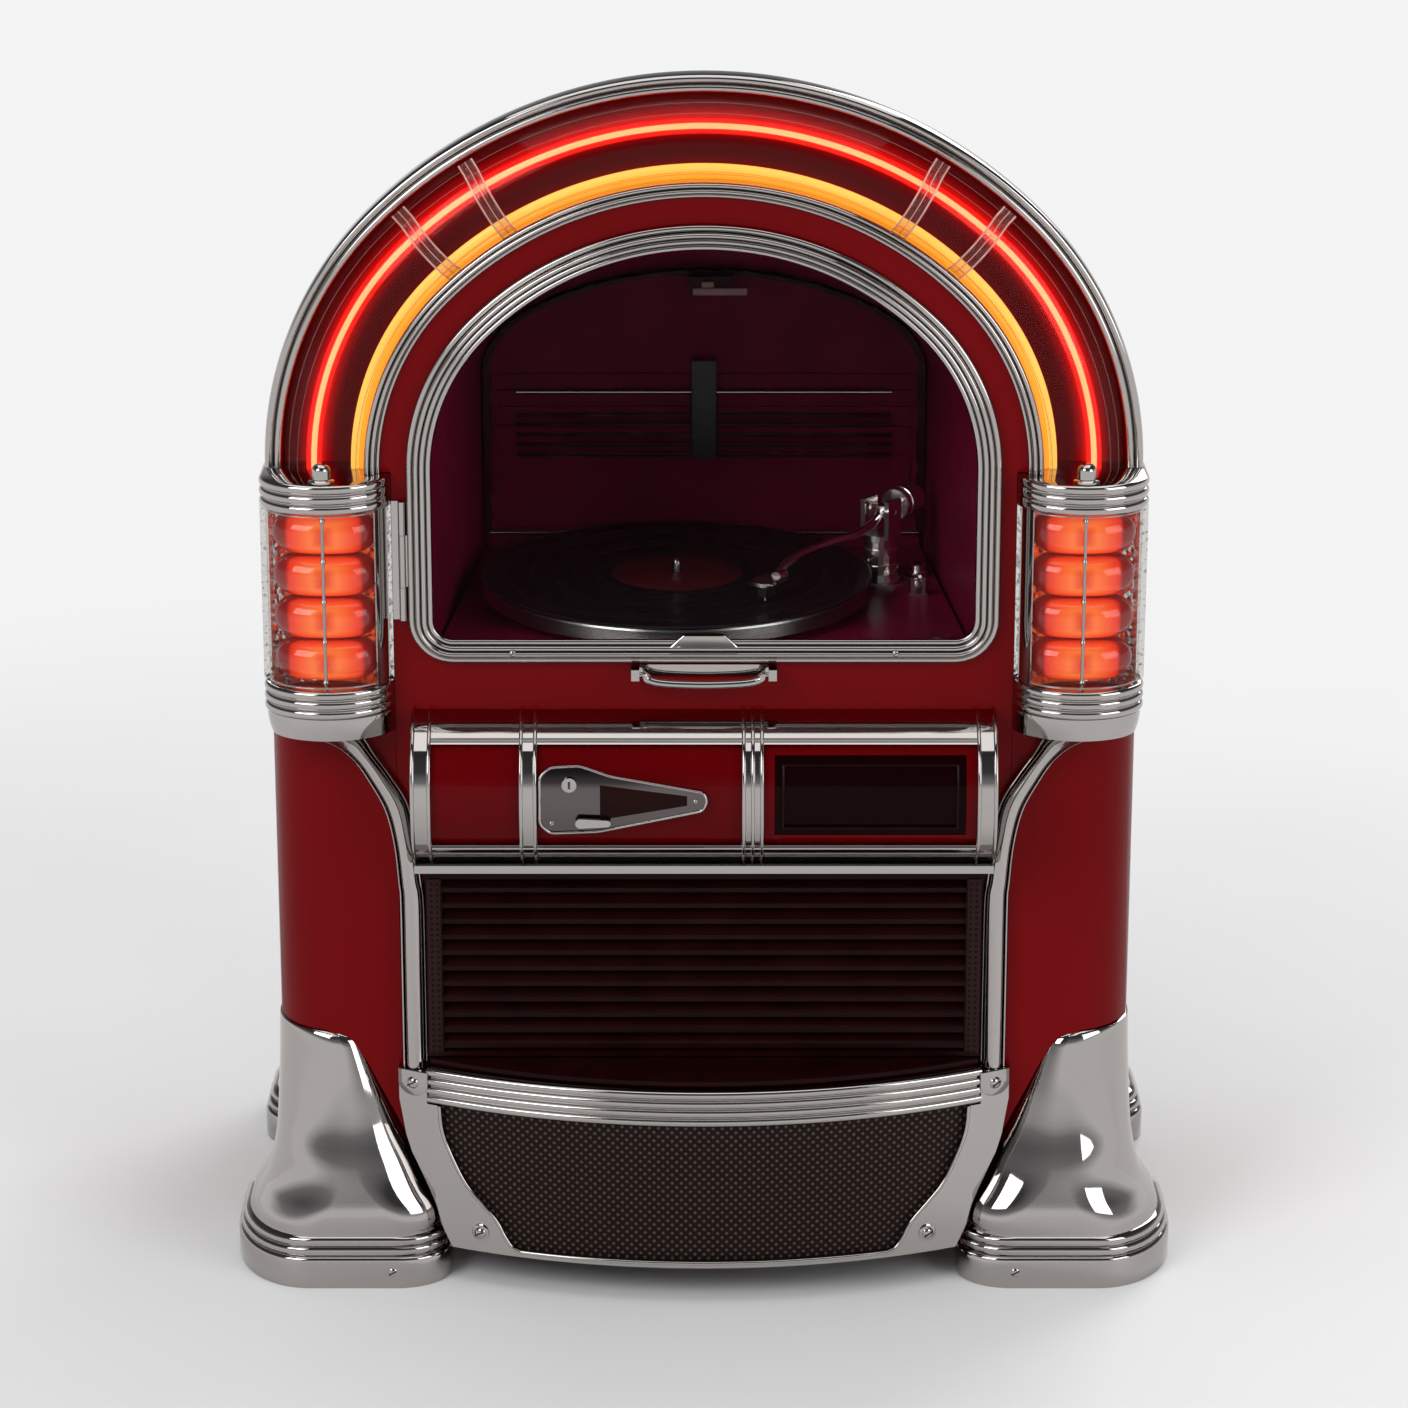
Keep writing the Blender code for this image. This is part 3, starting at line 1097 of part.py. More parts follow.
def lower_front():
    band_in = BAND_DEPTH * 0.5
    rise = BAND_Z[1] - BAND_Z[0]
    profile = [(band_in, 0)]
    for i in range(4):
        start = i * rise / 4
        profile += [(-band_in * 0.5, start), (-band_in, start + rise / 8),
                    (-band_in * 0.5, start + rise / 4 - GAP)]
    profile += [(band_in, rise - GAP)]
    path = [(x, FRONT_Y + d) for x, d in bow_arc(0, BAND_HALF_WIDTH - 2 * GAP, 12)]
    piece("bow_band", sweep(path, profile, TOP, offset=BAND_Z[0]), CHROME)
    skin = bow_wall(-MESH_THICKNESS / 2, -MESH_THICKNESS * 1.5, BAND_HALF_WIDTH, (0, APRON_Z[1]), 16)
    grille = piece("mesh_grille", skin, DARK)
    combine(grille, front_plate([mesh_outline(0)], -BOW_RISE * 2, 0), "INTERSECT", "outline")
    blank = bow_wall(APRON_THICKNESS / 2, -APRON_THICKNESS / 2, APRON_TOP_OUTER, (0, APRON_Z[1]), 16)
    apron = piece("apron_frame", blank, CHROME)
    top, bottom = APRON_TOP_OUTER, APRON_BOTTOM_OUTER
    low, high = APRON_Z
    shoulder = BAND_Z[1] + GAP
    side = [(top, high), (top, BAND_Z[0])]
    drop = BAND_Z[0] - low
    side += [(top - (top - bottom) * t ** 1.5, BAND_Z[0] - drop * t) for t in (0.25, 0.5, 0.75, 1)]
    outline = side + [(-x, z) for x, z in reversed(side)]
    combine(apron, front_plate([outline], -BOW_RISE * 2, OVERRUN), "INTERSECT", "outline")
    cut(apron, front_plate([mesh_outline(GAP)], -BOW_RISE * 2 - OVERRUN, 2 * OVERRUN), "mesh_opening")
    seat = BAND_HALF_WIDTH + BAND_DEPTH / 4
    gap_z = (BAND_Z[0] - GAP, shoulder + BAND_DEPTH)
    cut(apron, front_box((-seat, seat), (-2 * BOW_RISE, 2 * OVERRUN), gap_z), "band_gap")
    for side in (-1, 1):
        cut(apron, foot_blank(side, 1, FOOT_CLEARANCE), "foot_%d" % (side + 1))


def moulding_sections():
    """Sections of the right moulding, up the front and out under the collar, where it spreads."""
    half, depth = MOULDING_WIDTH / 2, MOULDING_DEPTH
    outer, inner = MOULDING_X + half, MOULDING_X - half
    top = FLARE_Z - 2 * GAP
    rise = top - MOULDING_BEND_Z
    across = COLUMN_X + COLUMN_HALF_WIDTH * 0.58 - outer
    back_across = COLUMN_X - COLUMN_HALF_WIDTH * 0.556 - inner
    outer_shares = ((0, 0), (0.01, 0.11), (0.047, 0.338), (0.125, 0.535), (0.26, 0.693), (0.42, 0.835),
                    (0.645, 0.938), (1, 1))
    inner_shares = ((0.01, 0), (0.07, 0.14), (0.155, 0.368), (0.275, 0.582), (0.586, 0.752), (0.84, 0.87),
                    (0.957, 0.95), (1, 1))
    depth_shares = (1, 1, 1, 1, 1.08, 1.25, 1.6, 2.2)
    rib_shares = ((0, 0.55), (0.12, 0.80), (0.30, 0.70), (0.50, 1.0), (0.70, 0.70), (0.88, 0.80), (1, 0.55))
    stations = [(outer, MOULDING_FOOT_Z, inner, MOULDING_FOOT_Z, depth)]
    for (a, up), (b, rest), share in zip(outer_shares, inner_shares, depth_shares):
        stations.append((outer + across * a, MOULDING_BEND_Z + rise * up,
                         inner + back_across * b, MOULDING_BEND_Z + rise * rest, depth * share))
    sections = []
    for x0, z0, x1, z1, proud in stations:
        section = [(x0, FRONT_Y - GAP, z0)]
        for t, lift in rib_shares:
            section.append((x0 + (x1 - x0) * t, FRONT_Y - proud * lift, z0 + (z1 - z0) * t))
        section.append((x1, FRONT_Y - GAP, z1))
        sections.append([(x, y + corner_drop(x), z) for x, y, z in section])
    return sections


def mouldings():
    mesh = loft(moulding_sections())
    for side, name in ((-1, "left"), (1, "right")):
        made = piece("side_moulding_" + name, mirrored(mesh) if side < 0 else mesh.copy(), CHROME)
        seat = cheek_mesh(GAP)
        cut(made, mirrored(seat) if side < 0 else seat, "cheek_seat")
        end = SELECTOR_HALF_LENGTH + GAP
        cut(made, plate([selector_section(-GAP, 0)[:13]], -end, end, SIDE), "selector_seat")
        bottom = SELECTOR_Z - SELECTOR_HALF_HEIGHT
        lip = bottom + LIP_RAISE - LIP_HEIGHT / 2 - GAP
        cut(made, front_box((-end, end), (-LIP_FORWARD - GAP, 0), (lip, SELECTOR_Z)), "lip_seat")


def compartment():
    front, back = PANEL_THICKNESS + GAP, COMPARTMENT_BACK
    foot = DECK_SHELF_Z[1] + GAP
    rear, rise = COMPARTMENT_BACK_HALF_WIDTH, COMPARTMENT_BACK_RISE_SHARE
    sections = []
    for depth, half, share in ((front, LINER_FRONT, 1.0), (back, rear, rise)):
        outer = arch(half + LINER_WALL, foot, share)
        inner = arch(half, foot, share)
        sections.append(at_depth(outer + inner[::-1], depth))
    piece("compartment_liner", loft(sections), BURGUNDY)
    wall = (back + GAP, back + REAR_WALL_THICKNESS)
    panel = piece("rear_wall", front_plate([arch(rear + LINER_WALL, foot, rise)], *wall), BURGUNDY)
    join(panel, merged(rear_wall_details(rear, back)), "slats")
    trim = LINER_WALL * 2
    loop = arch(rear - GAP * 2, PLINTH_TOP_Z + PLINTH_LEDGE_HEIGHT + GAP, rise)
    loop += arch(rear - GAP * 2 - trim, PLINTH_TOP_Z + PLINTH_LEDGE_HEIGHT + GAP, rise)[::-1]
    made = piece("rear_arch_trim", front_plate([loop], back - 2 * trim, back - GAP), CHROME)
    top = SPRING_Z + (arch(rear, 0)[len(arch(rear, 0)) // 2][1] - SPRING_Z) * rise
    lamp_half = trim * 4
    lamp_z = (top - 3 * trim, top - trim / 2)
    join(made, front_box((-lamp_half / 2, lamp_half), (back - 4 * trim, back - trim), lamp_z), "lamp")


def rear_wall_details(rear, back):
    """Slats, a rail, two flat fields and a bracket on the wall behind the record."""
    half = rear - 4 * LINER_WALL
    base = PLINTH_TOP_Z + PLINTH_LEDGE_HEIGHT
    rise = SPRING_Z - base
    details = []
    for low, high, out in ((0.04, 0.48, 1.5), (0.58, 0.64, 5.0), (0.70, 0.76, 3.0), (0.80, 0.86, 3.0),
                           (0.90, 0.96, 3.0)):
        for side in (-1, 1):
            edge = sorted((side * half, side * 4 * LINER_WALL))
            depth = (back - LINER_WALL * out / 3, back + REAR_WALL_THICKNESS / 2)
            details.append(front_box(edge, depth, (base + rise * low, base + rise * high)))
    return details


def turntable():
    low, high = DECK_SHELF_Z[1] + GAP, PLINTH_TOP_Z
    front, back = PANEL_THICKNESS + PLINTH_SIDE_CLEARANCE, COMPARTMENT_BACK - 2 * GAP
    taper = (LINER_FRONT - COMPARTMENT_BACK_HALF_WIDTH) / (COMPARTMENT_BACK - PANEL_THICKNESS)

    def half_at(depth):
        return LINER_FRONT - taper * (depth - PANEL_THICKNESS) - PLINTH_SIDE_CLEARANCE
    plan = [(-half_at(front), front), (half_at(front), front), (half_at(back), back), (-half_at(back), back)]
    deck = piece("turntable_deck", plate([[(x, FRONT_Y + d) for x, d in plan]], low, high, TOP), BURGUNDY)
    ledge = (back - PLINTH_LEDGE_DEPTH, back)
    ledge_z = (high - OVERRUN, high + PLINTH_LEDGE_HEIGHT)
    join(deck, front_box((-half_at(back), half_at(back)), ledge, ledge_z), "ledge")
    centre = (PLATTER_X, FRONT_Y + PLATTER_DEPTH, 0)
    floor = high - MOTOR_HEIGHT - 2 * GAP
    cut(deck, rod(MOTOR_RADIUS + 2 * GAP, floor, high + OVERRUN, "Z", 24, centre), "motor_well")
    button = (BUTTON_X, FRONT_Y + BUTTON_DEPTH, 0)
    well = rod(BUTTON_RADIUS + GAP, high - 3 * BUTTON_RISE, high + OVERRUN, "Z", 20, button)
    cut(deck, well, "button_well")
    motor = piece("platter_motor", rod(MOTOR_RADIUS, floor + GAP, high - 3 * GAP, "Z", 24, centre), STEEL)
    cut(motor, rod(SHAFT_RADIUS + GAP, floor + 4 * GAP, high + OVERRUN, "Z", 16, centre), "shaft_bore")
    platter_and_record(centre, floor)
    mesh = rod(BUTTON_RADIUS, high - 2 * BUTTON_RISE, high + BUTTON_RISE, "Z", 20, button)
    piece("start_button", mesh, CHROME, (button[0], button[1], high))


def platter_and_record(centre, floor):
    low, high = PLATTER_Z
    radius, edge = PLATTER_RADIUS, (high - low) / 6
    hub = MOTOR_RADIUS / 2
    profile = [(0, SPINDLE_TOP_Z), (SPINDLE_RADIUS / 2, SPINDLE_TOP_Z),
               (SPINDLE_RADIUS, SPINDLE_TOP_Z - SPINDLE_RADIUS),
               (SPINDLE_RADIUS, high), (radius - edge, high), (radius, high - edge), (radius, low + edge),
               (radius - 2 * edge, low), (hub, low), (hub, low - 3 * GAP), (SHAFT_RADIUS, low - 3 * GAP),
               (SHAFT_RADIUS, floor + 6 * GAP), (0, floor + 6 * GAP)]
    place = Matrix.Translation(centre)
    pivot = (centre[0], centre[1], low)
    piece("platter", turned(profile, 30, place), STEEL, pivot)
    bottom = high + GAP
    top = bottom + RECORD_THICKNESS
    label = RECORD_RADIUS / 3
    groove = RECORD_THICKNESS / 5
    ring = [(SPINDLE_RADIUS + GAP, top), (label, top), (label * 1.1, top - groove),
            (RECORD_RADIUS * 0.98, top - groove), (RECORD_RADIUS, (top + bottom) / 2),
            (RECORD_RADIUS * 0.98, bottom),
            (SPINDLE_RADIUS + GAP, bottom)]
    piece("record", turned(ring_profile(ring), 30, place), BLACK, pivot)


def arm_frame():
    """Places the tonearm: its local X runs from the pivot to the stylus."""
    run = Vector((STYLUS_X - ARM_X, STYLUS_DEPTH - ARM_DEPTH))
    turn = math.atan2(run.y, run.x)
    pivot = Matrix.Translation((ARM_X, FRONT_Y + ARM_DEPTH, ARM_Z))
    return pivot @ Matrix.Rotation(turn, 4, "Z"), run.length


def placed(mesh, matrix):
    mesh.transform(matrix)
    return mesh


def tonearm():
    place, reach = arm_frame()
    pivot = tuple(place.translation)
    deck = PLINTH_TOP_Z + GAP
    base = (ARM_X, FRONT_Y + ARM_DEPTH, 0)
    foot = PLATE_THICKNESS
    r = ARM_BASE_RADIUS
    pillar = ARM_PILLAR_RADIUS
    profile = [(0, ARM_PILLAR_Z), (pillar, ARM_PILLAR_Z), (pillar, deck + 4 * foot),
               (pillar * 1.2, deck + foot),
               (r, deck + foot), (r, deck), (0, deck)]
    stand = piece("tonearm_base", turned(profile, 18, Matrix.Translation(base)), CHROME)
    cue_y = (CUE_DEPTH, ARM_DEPTH)
    join(stand, front_box((CUE_X - r / 3, CUE_X + r / 3), cue_y, (deck, deck + foot)), "cue_tongue")
    post_z = deck + 6 * foot
    for side in (-1, 1):
        edge = sorted((CUE_X + side * 2 * CUE_RADIUS, CUE_X + side * 4 * CUE_RADIUS))
        ear_z = (deck + foot / 2, post_z + 2 * CUE_RADIUS)
        ear = front_box(edge, (CUE_DEPTH, CUE_DEPTH + 4 * CUE_RADIUS), ear_z)
        join(stand, ear, "cue_ear_%d" % (side + 1))
    cue_at = (CUE_X, FRONT_Y + CUE_DEPTH + 2 * CUE_RADIUS, post_z)
    cut(stand, rod(CUE_RADIUS * 0.7 + GAP, -r / 2, r / 2, "X", 12, cue_at), "cue_bore")
    stem_shares = ((0, 0), (0.4, 0.3), (1, 0.4))
    stem = [(cue_at[0], cue_at[1] - CUE_LENGTH * a, cue_at[2] + CUE_LENGTH * b) for a, b in stem_shares]
    lever = piece("cue_lever", tube(stem, CUE_RADIUS), CHROME, cue_at)
    join(lever, rod(CUE_RADIUS * 0.7, -CUE_RADIUS * 3.6, CUE_RADIUS * 3.6, "X", 12, cue_at), "pin")
    gimbal(place, pivot)
    arm_body(place, pivot, reach)


def gimbal(place, pivot):
    """The yoke that turns on the pillar and carries the arm's cross pin."""
    low = ARM_PILLAR_Z + GAP - ARM_Z
    half, wall = YOKE_GAP / 2, YOKE_WALL
    reach = ARM_PILLAR_RADIUS * 0.7
    foot = rod(ARM_PILLAR_RADIUS, low, low + wall, "Z", 24)
    yoke = piece("tonearm_gimbal", placed(foot, place), CHROME, pivot)
    for side in (-1, 1):
        edge = sorted((side * half, side * (half + wall)))
        ear = box((-reach, edge[0], low + wall / 2), (reach, edge[1], reach))
        join(yoke, placed(ear, place), "ear_%d" % (side + 1))
    bore = rod(PIVOT_RADIUS + GAP, -YOKE_GAP, YOKE_GAP, "Y", 16)
    cut(yoke, placed(bore, place), "pivot_bore")


def arm_body(place, pivot, reach):
    """The S-shaped arm with its headshell, cross pin and counterweight."""
    tip_drop = ARM_Z - (PLATTER_Z[1] + GAP + RECORD_THICKNESS + GAP)
    shell_drop = tip_drop - SHELL_WIDTH
    points = []
    end = reach - SHELL_LENGTH * 0.7
    for i in range(13):
        t = i / 12
        sway = ARM_TUBE_SWAY * math.sin(2 * math.pi * t) * (1 - 0.2 * t)
        points.append((end * t, sway, -shell_drop * t))
    mesh = placed(tube(points, ARM_TUBE_RADIUS), place)
    arm = piece("tonearm", mesh, CHROME, pivot)
    half, thick = SHELL_WIDTH / 2, SHELL_WIDTH / 4
    head_end = reach + SHELL_LENGTH * 0.3
    head = box((end - thick, -half, -shell_drop - thick), (head_end, half, -shell_drop + thick / 2))
    join(arm, placed(head, place), "headshell")
    low_corner = (reach - SHELL_LENGTH * 0.5, -half * 0.6, -tip_drop + thick)
    cartridge = box(low_corner, (reach + thick / 2, half * 0.6, -shell_drop))
    join(arm, placed(cartridge, place), "cartridge")
    stylus = rod(thick / 6, -tip_drop, -tip_drop + 2 * thick, "Z", 8, (reach - thick, 0, 0))
    join(arm, placed(stylus, place), "stylus")
    block = YOKE_GAP / 2 - 4 * GAP
    pin_end = YOKE_GAP / 2 + YOKE_WALL - GAP
    join(arm, placed(rod(PIVOT_RADIUS, -pin_end, pin_end, "Y", 16), place), "cross_pin")
    corner = (block * 0.7, block, block * 0.6)
    join(arm, placed(box([-c for c in corner], corner), place), "pivot_block")
    tail = ARM_PILLAR_RADIUS + 3 * WEIGHT_RADIUS
    join(arm, placed(rod(ARM_TUBE_RADIUS * 0.9, -tail, 0, "X", 10), place), "tail")
    weight_end = -tail + WEIGHT_RADIUS / 2
    weight = rod(WEIGHT_RADIUS, weight_end, weight_end + WEIGHT_LENGTH, "X", 24)
    join(arm, placed(weight, place), "counterweight")


def woofer():
    """Frame, cone and magnet as one turned body, facing forwards behind the louvres."""
    r, deep = WOOFER_RADIUS, WOOFER_DEPTH
    rim = deep * 0.06
    shares = ((0.0, -0.30), (0.16, -0.26), (0.24, -0.36), (0.82, -0.05), (0.90, -0.01), (0.93, 0.0),
              (1.0, 0.0))
    back = ((1.0, -rim / deep), (0.90, -rim / deep), (0.42, -0.62), (0.55, -0.66), (0.55, -1.0), (0.0, -1.0))
    profile = [(r * a, deep * b) for a, b in shares + back]
    place = Matrix.Translation((0, FRONT_Y + PANEL_THICKNESS + GAP, WOOFER_Z))
    place = place @ Matrix.Rotation(math.pi / 2, 4, "X")
    piece("woofer", turned(profile, 16, place), BLACK)


def amplifier():
    wide, deep, high = AMPLIFIER_SIZE
    floor = SHELL_FLOOR_Z + SHELL_WALL + GAP
    back = CABINET_DEPTH - BACK_THICKNESS - 2 * GAP
    chassis = front_box((-wide / 2, wide / 2), (back - deep, back), (floor, floor + high / 2))
    amp = piece("amplifier", chassis, STEEL)
    core_depth = (back - deep * 0.8, back - deep * 0.3)
    core = front_box((-wide / 2 + OVERRUN, -wide / 8), core_depth, (floor + high / 4, floor + high))
    join(amp, core, "transformer")
    middle = FRONT_Y + back - deep / 2
    caps = [rod(high / 5, floor + high / 4, floor + high * 0.9, "Z", 16, (wide * share, middle, 0))
            for share in (0.05, 0.20, 0.35)]
    join(amp, merged(caps), "capacitors")


cabinet_shell()
deck_shelf()
front_panel()
cheeks()
back_panel()
power_inlet()
arch_trims()
arch_tray()
arch_cover()
neon_tubes()
collars()
column_lamps()
dome_nuts()
feet()
door()
door_hinge()
pull_handle()
selector()
lock_and_lever()
louvre_grille()
lower_front()
mouldings()
compartment()
turntable()
tonearm()
woofer()
amplifier()
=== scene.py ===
"""Looks of the arch-topped jukebox: fine surfaces, materials, floor, light and camera."""
from math import asin, atan2, copysign, cos, exp, floor, pi, radians, sin, sqrt

import bmesh
import bpy
from mathutils import Matrix, Vector

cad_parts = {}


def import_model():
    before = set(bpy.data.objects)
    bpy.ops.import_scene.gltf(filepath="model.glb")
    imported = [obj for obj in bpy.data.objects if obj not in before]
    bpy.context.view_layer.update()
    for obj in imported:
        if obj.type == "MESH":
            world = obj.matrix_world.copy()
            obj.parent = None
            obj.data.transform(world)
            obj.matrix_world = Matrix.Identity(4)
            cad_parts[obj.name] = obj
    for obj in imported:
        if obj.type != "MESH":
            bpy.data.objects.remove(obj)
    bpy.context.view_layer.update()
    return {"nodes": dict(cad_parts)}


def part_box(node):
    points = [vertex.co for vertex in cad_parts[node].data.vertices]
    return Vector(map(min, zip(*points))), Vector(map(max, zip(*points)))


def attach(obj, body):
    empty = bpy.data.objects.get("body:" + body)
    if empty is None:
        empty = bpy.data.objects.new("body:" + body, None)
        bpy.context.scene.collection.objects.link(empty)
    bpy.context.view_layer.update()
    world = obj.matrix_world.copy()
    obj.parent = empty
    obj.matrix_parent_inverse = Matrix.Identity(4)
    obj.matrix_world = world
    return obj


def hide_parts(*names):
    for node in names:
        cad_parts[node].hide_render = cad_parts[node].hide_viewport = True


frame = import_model()
NODES = frame["nodes"]

# Places read from the frame
FRONT_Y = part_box("front_panel")[0].y
RING_LOW, RING_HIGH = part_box("arch_outer_trim")
TRIM_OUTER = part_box("arch_inner_trim")[1].x
COVER_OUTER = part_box("arch_light_cover")[1].x
TRAY_BACK_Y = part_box("arch_light_tray")[1].y
COLLAR_LOW, COLLAR_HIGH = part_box("upper_collar_right")
COLLAR_TOP_Z = COLLAR_HIGH.z
COLUMN_X = (COLLAR_LOW.x + COLLAR_HIGH.x) / 2
COLUMN_HALF_WIDTH = COLLAR_HIGH.x - COLUMN_X
COLUMN_FRONT_Y = COLLAR_LOW.y
GLASS_LOW_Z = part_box("door_glass")[0].z
CONSOLE_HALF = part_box("selector_frame")[1].x
RECORD_LOW, RECORD_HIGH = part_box("record")
RECORD_AXIS = (RECORD_LOW + RECORD_HIGH) / 2
RECORD_RADIUS = RECORD_HIGH.x - RECORD_AXIS.x
DECK_TOP_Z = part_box("turntable_deck")[1].z
BAND_LOW, BAND_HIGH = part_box("bow_band")

MM = 0.001
GAP = 0.3 * MM
SIDES = ((-1, "left"), (1, "right"))
FORWARD = (0, -1, 0)
SMOOTH = radians(40)

# The three-centred arch and what follows it
SIDE_CENTRE_X = 0.058
SPRING_Z = 0.632
CROWN_Z = SPRING_Z - SIDE_CENTRE_X
CROWN_SHIFT = SIDE_CENTRE_X * (sqrt(2) - 1)
ARCH_STEPS = 96
RING_INNER = 0.309
TRIM_INNER = 0.2365
COVER_INNER = 0.2483
COVER_WALL = 2.6 * MM
COVER_FLUTE = 0.5 * MM
COVER_BANDS = (48.6, 59.0, 121.0, 131.4)
COVER_HIGHLIGHT_LINES = (0.09, 0.80, 0.91)
BAND_HALF = 5.5 * MM
BAND_DEEPEST = 4 * MM
TRAY_INNER, TRAY_OUTER = 0.2352, 0.3085

# Tubes and lamp columns
RED_TUBE_HALF = 0.2855
AMBER_TUBE_HALF = 0.2522
AMBER_PAIR = (0.2490, 0.2554)
TUBE_DEPTH = 14 * MM
CORE_RADIUS = 2.1 * MM
HALO_RADIUS = 5.6 * MM
AMBER_RADIUS = 3.1 * MM
LAMP_PITCH = 32 * MM
LAMP_HALF_WIDTH = 38.5 * MM
LAMP_HALF_DEPTH = 21.5 * MM
COLUMN_FORWARD = 38 * MM
COLUMN_MIDDLE_Y = COLUMN_FRONT_Y + COLUMN_FORWARD
LOWER_RINGS_Z = 0.453
LAMPS_Z = (0.475, COLLAR_LOW.z)

# Door, console and lower front
DOOR_OUTER = 0.2175
HINGE_X, HINGE_Z = -0.2212, 0.5453
HANDLE_Z = 0.481
CONSOLE_Z = 0.391
CONSOLE_HALF_HEIGHT = 59 * MM
CONSOLE_BULGE = 52 * MM
CONSOLE_LINES = (-0.136, -0.123, 0.028, 0.036, 0.044)
CONSOLE_RAILS_Z = (0.4365, 0.3555)
END_BAND = 15 * MM
STRIP_X, LOUVRE_BOTTOM_Z = 202.5 * MM, 0.178
BOW_HALF, BOW_RISE = 0.232, 0.060
CLIP_X, CLIP_Z = 218.4 * MM, 158.2 * MM
APRON_SCREW_X, APRON_SCREW_Z = 168.7 * MM, 44 * MM
FOOT_TOP_Z = 193 * MM
FLANK_LEVEL = 0.30
CHEEK_HALF, CHEEK_CORNER = 325 * MM, 55 * MM

# Turntable and arm
PLATTER_RADIUS = 149 * MM
PLATTER_RIM_Z = (0.4905, 0.5065)
SPINDLE_TOP_Z = 0.520
ARM_PIVOT = Vector((0.138, 0.055, 0.545))
STYLUS_X, STYLUS_Y, STYLUS_Z = 0.044, -0.080, 0.5093

# Rear wall and back
WALL_RAIL_Z = 0.613
SLATS_Z = 0.560
BACK_SCREWS_Z = (0.10, 0.30, 0.50, 0.66)
INLET_X, INLET_Z = 0.200, 0.110

PALE = (0.90, 0.90, 0.905)


def material(name, colour, roughness=0.4, metallic=0.0, coat=0.0, alpha=1.0, glow=None, strength=0.0,
             specular=0.5):
    """A Principled material whose constant values sit on the shader's own sockets."""
    made = bpy.data.materials.new(name)
    made.use_nodes = True
    shader = made.node_tree.nodes["Principled BSDF"]
    values = {"Base Color": (*colour, 1), "Roughness": roughness, "Metallic": metallic, "Coat Weight": coat,
              "Coat Roughness": 0.04, "Specular IOR Level": specular, "Alpha": alpha}
    if glow:
        values.update({"Emission Color": (*glow, 1), "Emission Strength": strength})
    for socket, value in values.items():
        shader.inputs[socket].default_value = value
    return made


def add(made, kind, **values):
    """A new node with its sockets and settings."""
    node = made.node_tree.nodes.new(kind)
    for key, value in values.items():
        if key in node.inputs:
            node.inputs[key].default_value = value
        else:
            setattr(node, key, value)
    return node


def link(made, source, target):
    made.node_tree.links.new(source, target)


def shader_of(made):
    return made.node_tree.nodes["Principled BSDF"]


def coordinates(made, scale=(1, 1, 1), offset=(0, 0, 0)):
    place = add(made, "ShaderNodeMapping", Scale=scale, Location=offset)
    link(made, add(made, "ShaderNodeTexCoord").outputs["Object"], place.inputs["Vector"])
    return place.outputs["Vector"]


def noise(made, scale, detail=3.0, stretch=(1, 1, 1)):
    node = add(made, "ShaderNodeTexNoise", Scale=scale, Detail=detail)
    link(made, coordinates(made, stretch), node.inputs["Vector"])
    return node.outputs["Fac"]


def wave(made, vector, scale, direction, shape="BANDS"):
    node = add(made, "ShaderNodeTexWave", Scale=scale, Distortion=0.0, wave_type=shape)
    setattr(node, shape.lower() + "_direction", direction)
    link(made, vector, node.inputs["Vector"])
    return node.outputs["Fac"]


def maths(made, operation, one, two=None):
    """The result of a maths node on one or two values."""
    node = add(made, "ShaderNodeMath", operation=operation)
    link(made, one, node.inputs[0])
    if two is not None:
        link(made, two, node.inputs[1])
    return node.outputs[0]


def ramp(made, value, stops):
    """Colours along a value; stops are (place, colour)."""
    node = add(made, "ShaderNodeValToRGB")
    line = node.color_ramp
    while len(line.elements) < len(stops):
        line.elements.new(0.5)
    for element, (place, colour) in zip(line.elements, stops):
        element.position = place
        element.color = (*colour, 1)
    link(made, value, node.inputs["Fac"])
    return node.outputs["Color"]


def spread(made, value, low, high, socket="Roughness"):
    """Lets a socket of the shader follow a value between two limits."""
    node = add(made, "ShaderNodeMapRange", **{"To Min": low, "To Max": high})
    link(made, value, node.inputs["Value"])
    link(made, node.outputs["Result"], shader_of(made).inputs[socket])


def tint(made, value, stops, socket="Base Color"):
    """Lets a colour of the shader follow a value."""
    link(made, ramp(made, value, stops), shader_of(made).inputs[socket])


def bump(made, height, strength, distance):
    node = add(made, "ShaderNodeBump", Strength=strength, Distance=distance)
    link(made, height, node.inputs["Height"])
    link(made, node.outputs["Normal"], shader_of(made).inputs["Normal"])


def chrome(name, colour=(0.43, 0.405, 0.39), low=0.035, high=0.09, ripple=0.03, ripple_scale=9.0):
    made = material(name, colour, metallic=1.0)
    spread(made, noise(made, 55, 4), low, high)
    bump(made, noise(made, ripple_scale, 1.5), ripple, 2 * MM)
    return made


def lacquer(name, dark, light, coat=0.08, low=0.16, high=0.26):
    made = material(name, dark, coat=coat, specular=0.03)
    tint(made, noise(made, 3.5, 3), ((0.35, dark), (0.7, light)))
    spread(made, noise(made, 40, 3), low, high)
    bump(made, noise(made, 260, 2), 0.03, 0.3 * MM)
    return made


def mottled(name, dark, light, low, high, scale=30, grain=0.1, stretch=(1, 1, 1), specular=0.3):
    made = material(name, dark, specular=specular)
    value = noise(made, scale, 4, stretch)
    tint(made, value, ((0.3, dark), (0.7, light)))
    spread(made, value, low, high)
    bump(made, noise(made, scale * 8, 3, stretch), grain, 0.4 * MM)
    return made


def clear(name, tone, alpha, rough=0.04, coat=0.3, specular=0.25, glow=None, strength=0.0):
    """Clear moulded plastic: mostly see-through, with gloss on top and faint flow marks."""
    made = material(name, tone, roughness=rough, coat=coat, specular=specular, glow=glow, strength=strength)
    spread(made, noise(made, 14, 2), alpha * 0.8, alpha * 1.25, "Alpha")
    bump(made, noise(made, 18, 2), 0.05, 0.8 * MM)
    return made


